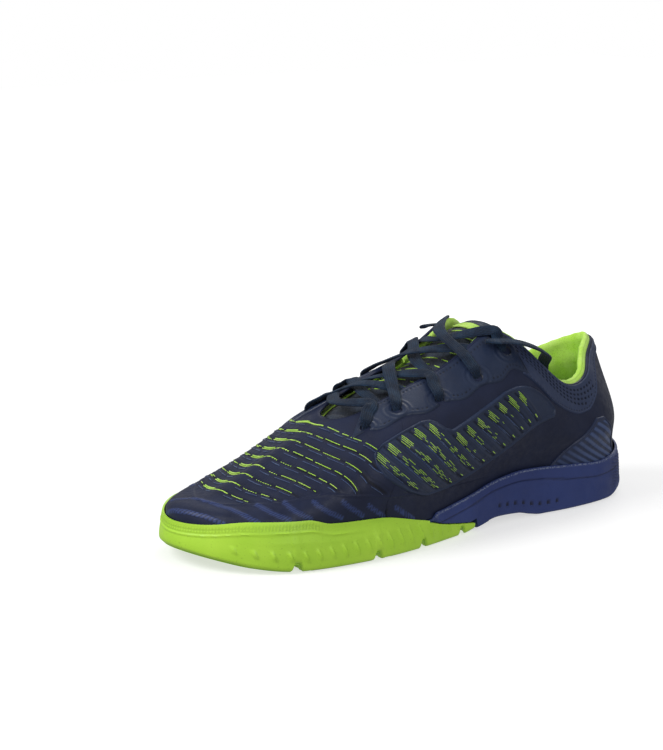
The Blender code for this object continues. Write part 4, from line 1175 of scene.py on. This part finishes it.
def make_threads():
    rng = np.random.default_rng(7)
    green, blue = [], []
    for side in ("lateral", "medial"):
        for rib in range(RIB_COUNT):
            u, w = window_line(rib, side)
            length = lengths(surface(u, w))[-1]
            chunk = rng.uniform(4.5, 8.0)
            reach = length * (rng.uniform(0.7, 0.9) if rib < 5 else rng.uniform(0.35, 0.6))
            for aside in (-1.2, -0.4, 0.4, 1.2):
                at = chunk + rng.uniform(-2, 2)
                pattern = [(0.0, at, aside)]
                while at < reach:
                    at += rng.uniform(1.5, 9.0)
                    end = at + rng.uniform(1.8, 7.0)
                    pattern.append((at, min(end, reach + 2), aside))
                    at = end
                green += dashes(rng, u, w, window_lift, pattern, 0.3, 0.28)
            green += dashes(rng, u, w, window_lift, [(length - 3.4, length - 0.8, 0.0)], 0.5, 0.3)
            pattern = [(chunk + 2, length * 0.85, -1.5), (3, length * 0.6, -2.3)]
            blue += dashes(rng, u, w, window_lift, pattern, 0.4, 0.22)
    for row in range(9):
        u, w = row_line(row, -4.3, 4.4)
        if not len(u):
            continue
        keep = (w > rand_line(u) + 0.03) & (w < 0.955)
        u, w = u[keep], w[keep]
        length = lengths(surface(u, w))
        middle = float(np.interp(0.0, u, length))
        pattern = [(middle - 36, middle - 29, 0.0), (middle - 22, middle + 7, 0.0),
                   (middle - 20, middle - 6, 0.45)]
        green += dashes(rng, u, w, skin_lift, pattern, 0.8, 0.38)
        for direction in (-1, 1):
            at, pattern = middle + (10 if direction > 0 else -25), []
            reach = middle + direction * rng.uniform(36, 56)
            while direction * (reach - at) > 0:
                end = at + direction * rng.uniform(4, 11)
                pattern.append((min(at, end), max(at, end), rng.uniform(-0.1, 0.5)))
                at = end + direction * rng.uniform(1.0, 3.5)
            green += dashes(rng, u, w, skin_lift, pattern, 0.45, 0.26)
            at, pattern = middle + direction * 6, []
            while 0 < at < length[-1]:
                end = at + direction * rng.uniform(5, 12)
                pattern.append((min(at, end), max(at, end), -1.6))
                at = end + direction * rng.uniform(1.5, 4)
            blue += dashes(rng, u, w, skin_lift, pattern, 0.4, 0.22)
    add_strips("green_threads", green, lime_thread, "shoe", "lime_webbing")
    add_strips("blue_threads", blue, blue_thread, "shoe", "navy_lace")


make_threads()


# ---------------------------------------------------------------- tongue

TONGUE_STATIONS = (2.9, 4.3, 5.3, 6.3, 7.3, 8.05)
TONGUE_TOP = [(-18.5, 50, 99.5), (-10, 51.5, 102.5), (0, 52, 103.5), (10, 51.5, 102.5), (18.5, 50, 99.5)]
TONGUE_CROWN = (0.5, 1.5, 2.5, 3.0, 3.0, 3.0)
TONGUE_DEPTH = (5.4, 5.6, 5.6, 5.9, 6.8, 9.0)
PILLOW_DEPTH = 3.6


def open_curve(points, at):
    """Catmull-Rom curve through points, read at 0 to len - 1."""
    points = np.asarray(points, dtype=float)
    at = np.atleast_1d(np.asarray(at, dtype=float))
    i = np.clip(np.floor(at).astype(int), 0, len(points) - 2)
    f = (at - i).reshape(-1, *[1] * (points.ndim - 1))
    before, after = points[np.maximum(i - 1, 0)], points[np.minimum(i + 2, len(points) - 1)]
    here, there = points[i], points[i + 1]
    start, end = (there - before) / 2, (after - here) / 2
    return (here * (1 + 2 * f) * (1 - f) ** 2 + there * f * f * (3 - 2 * f)
            + start * f * (1 - f) ** 2 - end * f * f * (1 - f))


def tongue_section(u, crown, depth):
    """Five points across the tongue where the throat edge is at u."""
    lateral, medial = offset(u, 0.9, -depth), offset(ROUND - u, 0.9, -depth)
    lateral_edge, medial_edge = offset(u, 1.0, -depth), offset(ROUND - u, 1.0, -depth)
    centre = (lateral_edge + medial_edge) / 2 + np.array([0, 0, crown])
    return [medial, medial_edge, centre, lateral_edge, lateral]


TONGUE_ROWS = [tongue_section(*place) for place in zip(TONGUE_STATIONS, TONGUE_CROWN, TONGUE_DEPTH)]
TONGUE_ROWS = np.array(TONGUE_ROWS + [np.array(TONGUE_TOP, dtype=float)])


def tongue_grid(p, q):
    """Points and outward normals of the tongue: p from its base (0) to its top (1), q from -1 to 1 across."""
    def at(p, q):
        across = open_curve(TONGUE_ROWS.swapaxes(0, 1), (np.clip(q, -1, 1) + 1) * 2).swapaxes(0, 1)
        place = open_curve(across, np.clip(p, 0, 1) * (len(TONGUE_ROWS) - 1))
        base = open_curve(across, np.array([0.0, 0.2]))
        return place + np.minimum(p, 0)[:, None, None] * (base[1] - base[0]) * 30
    d = 0.01
    return at(p, q), unit(np.cross(at(p, q + d) - at(p, q - d), at(p + d, q) - at(p - d, q)))


def tongue_skin(name, p, q, outer, inner, *look, **masks):
    """A skin of the tongue between two heights off its middle surface."""
    place, normal = tongue_grid(p, q)
    top = place + normal * outer[..., None]
    low = (place + normal * inner[..., None])[:, ::-1]
    masks = {key: np.concatenate([values, np.zeros_like(values)], 1) for key, values in masks.items()}
    return add_rings(name, np.concatenate([top, low], 1), False, True, *look, **masks)


def make_tongue():
    p, q = np.linspace(-0.13, 1, 160), np.linspace(-1, 1, 72)
    pp, qq = np.meshgrid(p, q, indexing="ij")
    edge = np.minimum(ease(0, 0.04, 1 - np.abs(qq)), ease(0.0, 0.02, 1 - pp))
    hem = 0.35 * bump(pp, 0.955, 0.02) + 0.3 * bump(np.abs(qq), 0.9, 0.05)
    quilt = np.abs(np.sin(pp * 52 + np.abs(qq) * 4))
    field = ease(0.95, 0.9, pp)
    height = hem + 0.25 * quilt * field - 0.6 + 0.6 * edge
    # The deep mask is painted shade in the troughs of the quilting.
    tongue_skin("tongue_cover", p, q, height, 0 * pp - 1.0, navy_knit, "tongue", "navy_mesh", ["tongue_face"],
                deep=0.6 * ease(0.25, 0.0, quilt) * field)
    p, q = np.linspace(0.18, 0.995, 90), np.linspace(-0.94, 0.94, 56)
    pp, qq = np.meshgrid(p, q, indexing="ij")
    round_top = np.sqrt(1 - ease(0.93, 1.0, pp) ** 2) * np.sqrt(1 - (qq / 0.945) ** 8)
    tuck = 0.5 * bump(np.mod(pp * 9, 1), 0.5, 0.12)
    top, low = 2.3 * round_top - PILLOW_DEPTH, tuck - 2.4 * round_top - PILLOW_DEPTH
    item = tongue_skin("tongue_pillow", p, q, top, low, lime_knit, "tongue", "lime_mesh",
                       ["tongue_foam", "tongue_lining"])
    p, q = np.linspace(0.7, 0.8, 26), np.linspace(-0.33, 0.33, 40)
    pp, qq = np.meshgrid(p, q, indexing="ij")
    arch = 0.35 * np.cos(qq * 4) + 0.12 * np.abs(np.sin(pp * 190))
    tongue_skin("keeper_webbing", p, q, 1.1 + arch, 0.5 + arch, lime_thread, "tongue", "lime_webbing",
                ["lace_keeper"])


def make_tongue_slashes():
    """Thin bright threads slanting across the tongue below the keeper."""
    strips = []
    for start in np.arange(0.22, 0.68, 0.045):
        for low, high in ((-0.72, -0.3), (-0.2, 0.15), (0.25, 0.6)):
            q = np.linspace(low, high, 10)
            p = start + 0.05 * q
            place, normal = (np.diagonal(grid).T for grid in tongue_grid(p, q))
            strips.append(strip_rings(place + normal * 0.35, normal, 0.7, 0.35, blunt=0.35))
    add_strips("tongue_threads", strips, lime_thread, "tongue", "lime_webbing")


make_tongue()
make_tongue_slashes()


# ---------------------------------------------------------------- laces

LACE_WIDTH, LACE_THICK, LACE_STEP = 7.0, 1.3, 0.8
AGLET_LENGTH, AGLET_RADIUS = 16.0, 1.7
# Each crossing of the laced stretch: where it comes out from under the throat, its middle, and its eyelet.
CROSSINGS = [
    (("medial", 7.75), (0, 22, 101.5), ("lateral", 6.60)),
    (("lateral", 6.75), (0, 5, 92.5), ("medial", 5.48)),
    (("medial", 5.65), (0, -13, 86), ("lateral", 4.42)),
    (("lateral", 4.6), (0, -31, 79.5), ("medial", 3.60)),
    (("lateral", 3.8), (0, -31, 75.5), ("medial", 4.42)),
    (("medial", 4.6), (0, -13, 81.8), ("lateral", 5.48)),
    (("lateral", 5.65), (0, 5, 88.3), ("medial", 6.60)),
    (("medial", 6.75), (0, 22, 97.2), ("lateral", 7.7))]
FRONT_BAR = (0, -48, 71.9)
# The free ends go over the collar and lie inside the shoe.
LATERAL_END = [
    (26.1, 32, 98.6), (30, 38, 98.5), (34, 48, 97.5), (36, 58, 94), (35, 67, 89.5), (29, 73.5, 86),
    (22.5, 77, 80), (20.5, 80, 68), (20.5, 83, 54), (20.5, 86, 41), (19.5, 87, 31.5), (18, 80, 27),
    (15, 66, 26.4), (12, 50, 26), (12.5, 34, 25.2), (10, 18, 24)]
MEDIAL_END = [
    (-25.8, 31.6, 98.6), (-29, 37, 98.3), (-33, 47, 97), (-35, 57, 94.5), (-34, 66, 90.5), (-28, 73, 86.5),
    (-21.5, 77, 80), (-19.5, 81, 68), (-19.5, 85, 54), (-19.5, 90, 41), (-18.5, 94, 31.5), (-14, 102, 27),
    (-4, 109, 26.5), (7, 107, 26.5), (12, 98, 26.4), (7, 90, 26.4)]


def even_route(points, spacing):
    """Points about spacing apart on a smooth curve through points, and its length."""
    fine = open_curve(points, np.linspace(0, len(points) - 1, 40 * len(points)))
    length = lengths(fine)
    places = np.linspace(0, length[-1], int(length[-1] / spacing) + 2)
    return np.stack([np.interp(places, length, fine[:, k]) for k in range(3)], 1), length[-1]


def ribbon(name, route, guide, width, nodes):
    """Flat woven lace along a route: guide is about the way its face looks, width a value for each point."""
    run = unit(np.gradient(route, axis=0))
    face = unit(guide - run * np.sum(guide * run, axis=1, keepdims=True))
    side = np.cross(run, face)
    across = np.linspace(-0.5, 0.5, 25)
    thick = np.clip(LACE_THICK * (LACE_WIDTH / width) ** 0.6, LACE_THICK, 2.6)
    crown = np.sqrt(np.clip(1 - (2 * across) ** 4, 0.02, 1))
    ribs = 0.16 * np.abs(np.cos(across * np.pi * 6))
    knit = 0.07 * np.cos(np.arange(len(route)) * np.pi)[:, None] * np.cos(across * np.pi * 12)[None]
    top = thick[:, None] / 2 * crown + ribs * crown + knit
    low = -(thick[:, None] / 2 * crown + ribs * crown)
    heights = np.concatenate([top, low[:, ::-1][:, 1:-1]], 1)
    places = np.concatenate([across, across[::-1][1:-1]])
    rings = (route[:, None] + side[:, None] * places[:, None] * width[:, None, None]
             + face[:, None] * heights[..., None])
    # Painted shade in the grooves between the lace's ribs.
    groove = ease(0.35, 0.05, np.abs(np.cos(places * np.pi * 6)))
    deep = np.broadcast_to(groove * 0.7, rings.shape[:2])
    return add_rings(name, rings, False, True, lace_cloth, "shoe", "navy_lace", nodes, deep=deep)


def into_eyelet(side, u):
    """Points over the throat's edge, along the eyestay and down into the eyelet at u."""
    hole = min(EYELETS, key=lambda eyelet: abs(eyelet[0] - u))[1]
    way = [(RIM_W, 2.2), ((hole + 1) / 2, 2.4), (hole + 0.03, 2.1), (hole, -1.2)]
    return [offset(from_side(u, side), w, out) for w, out in way]


def from_under(side, u):
    """Points that come out from under the throat's edge."""
    at = from_side(u, side)
    return [offset(at, 0.9, -2.6), offset(at, 0.97, -2.5), offset(at, 1.0, -1.2) + np.array([0, 0, 0.6])]


def lace_run(name, points):
    """One crossing of the lace, narrowed at both ends where it is pinched."""
    route, _ = even_route(points, LACE_STEP)
    guide = np.stack([route[:, 0] / 22, np.full(len(route), -0.2), np.ones(len(route))], 1)
    count = np.arange(len(route))
    ends = np.minimum(count, count[::-1]) * LACE_STEP
    return ribbon(name, route, guide, LACE_WIDTH - 3.0 * ease(7, 0, ends), [])


def make_lace():
    runs = [[*from_under(*start), middle, *into_eyelet(*end)] for start, middle, end in CROSSINGS]
    front = EYELETS[0][0]
    runs.append([*into_eyelet("medial", front)[::-1], FRONT_BAR, *into_eyelet("lateral", front)])
    made = [lace_run("lace_run_%d" % (k + 1), points) for k, points in enumerate(runs)]
    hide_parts("lace")


def carried_guide(route, start):
    """A face direction carried along the route without twisting."""
    face, found = np.array(start, dtype=float), []
    for direction in unit(np.gradient(route, axis=0)):
        face = unit(face - direction * (face @ direction))
        found.append(face)
    return np.array(found)


def make_aglet(side, place, direction):
    """Film-wrapped tip: a round tube with rolled ends and two crimps."""
    share = np.linspace(0, 1, 40)
    radius = AGLET_RADIUS * (1 - 0.10 * (bump(share, 0.25, 0.05) + bump(share, 0.75, 0.05)))
    radius = radius * np.where(share < 0.02, 0.9, 1) * (1 - 0.25 * ease(0.95, 1.0, share))
    first = unit(np.cross(direction, (0, 0, 1.0)))
    second = np.cross(direction, first)
    turn = np.linspace(0, 2 * np.pi, 29)[:-1]
    circle = np.cos(turn)[:, None] * first + np.sin(turn)[:, None] * second
    rings = place + (share * AGLET_LENGTH)[:, None, None] * direction + radius[:, None, None] * circle
    return add_rings("aglet_tip_" + side, rings, False, True, aglet_film, "shoe", "aglet_film",
                     ["aglet_" + side])


def make_lace_end(side, points):
    route, length = even_route(points, 1.0)
    direction = unit(np.subtract(points[-1], points[-2]))
    at = np.arange(len(route)) * length / (len(route) - 1)
    width = LACE_WIDTH - 4.2 * ease(length - 9, length - 1, at) - 2.6 * ease(7, 0, at)
    guide = carried_guide(route, (0, -0.3, 1.0))
    item = ribbon("lace_tail_" + side, route, guide, width, ["lace_end_" + side])
    tip = make_aglet(side, route[-1] + direction * GAP, direction)


make_lace()
make_lace_end("lateral", LATERAL_END)
make_lace_end("medial", MEDIAL_END)


# ---------------------------------------------------------------- carried-over pieces

for node, finish in (("strobel_board", fibre_board), ("toe_puff", stiffener), ("heel_counter", stiffener)):
    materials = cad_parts[node].data.materials
    materials.clear()
    materials.append(finish)
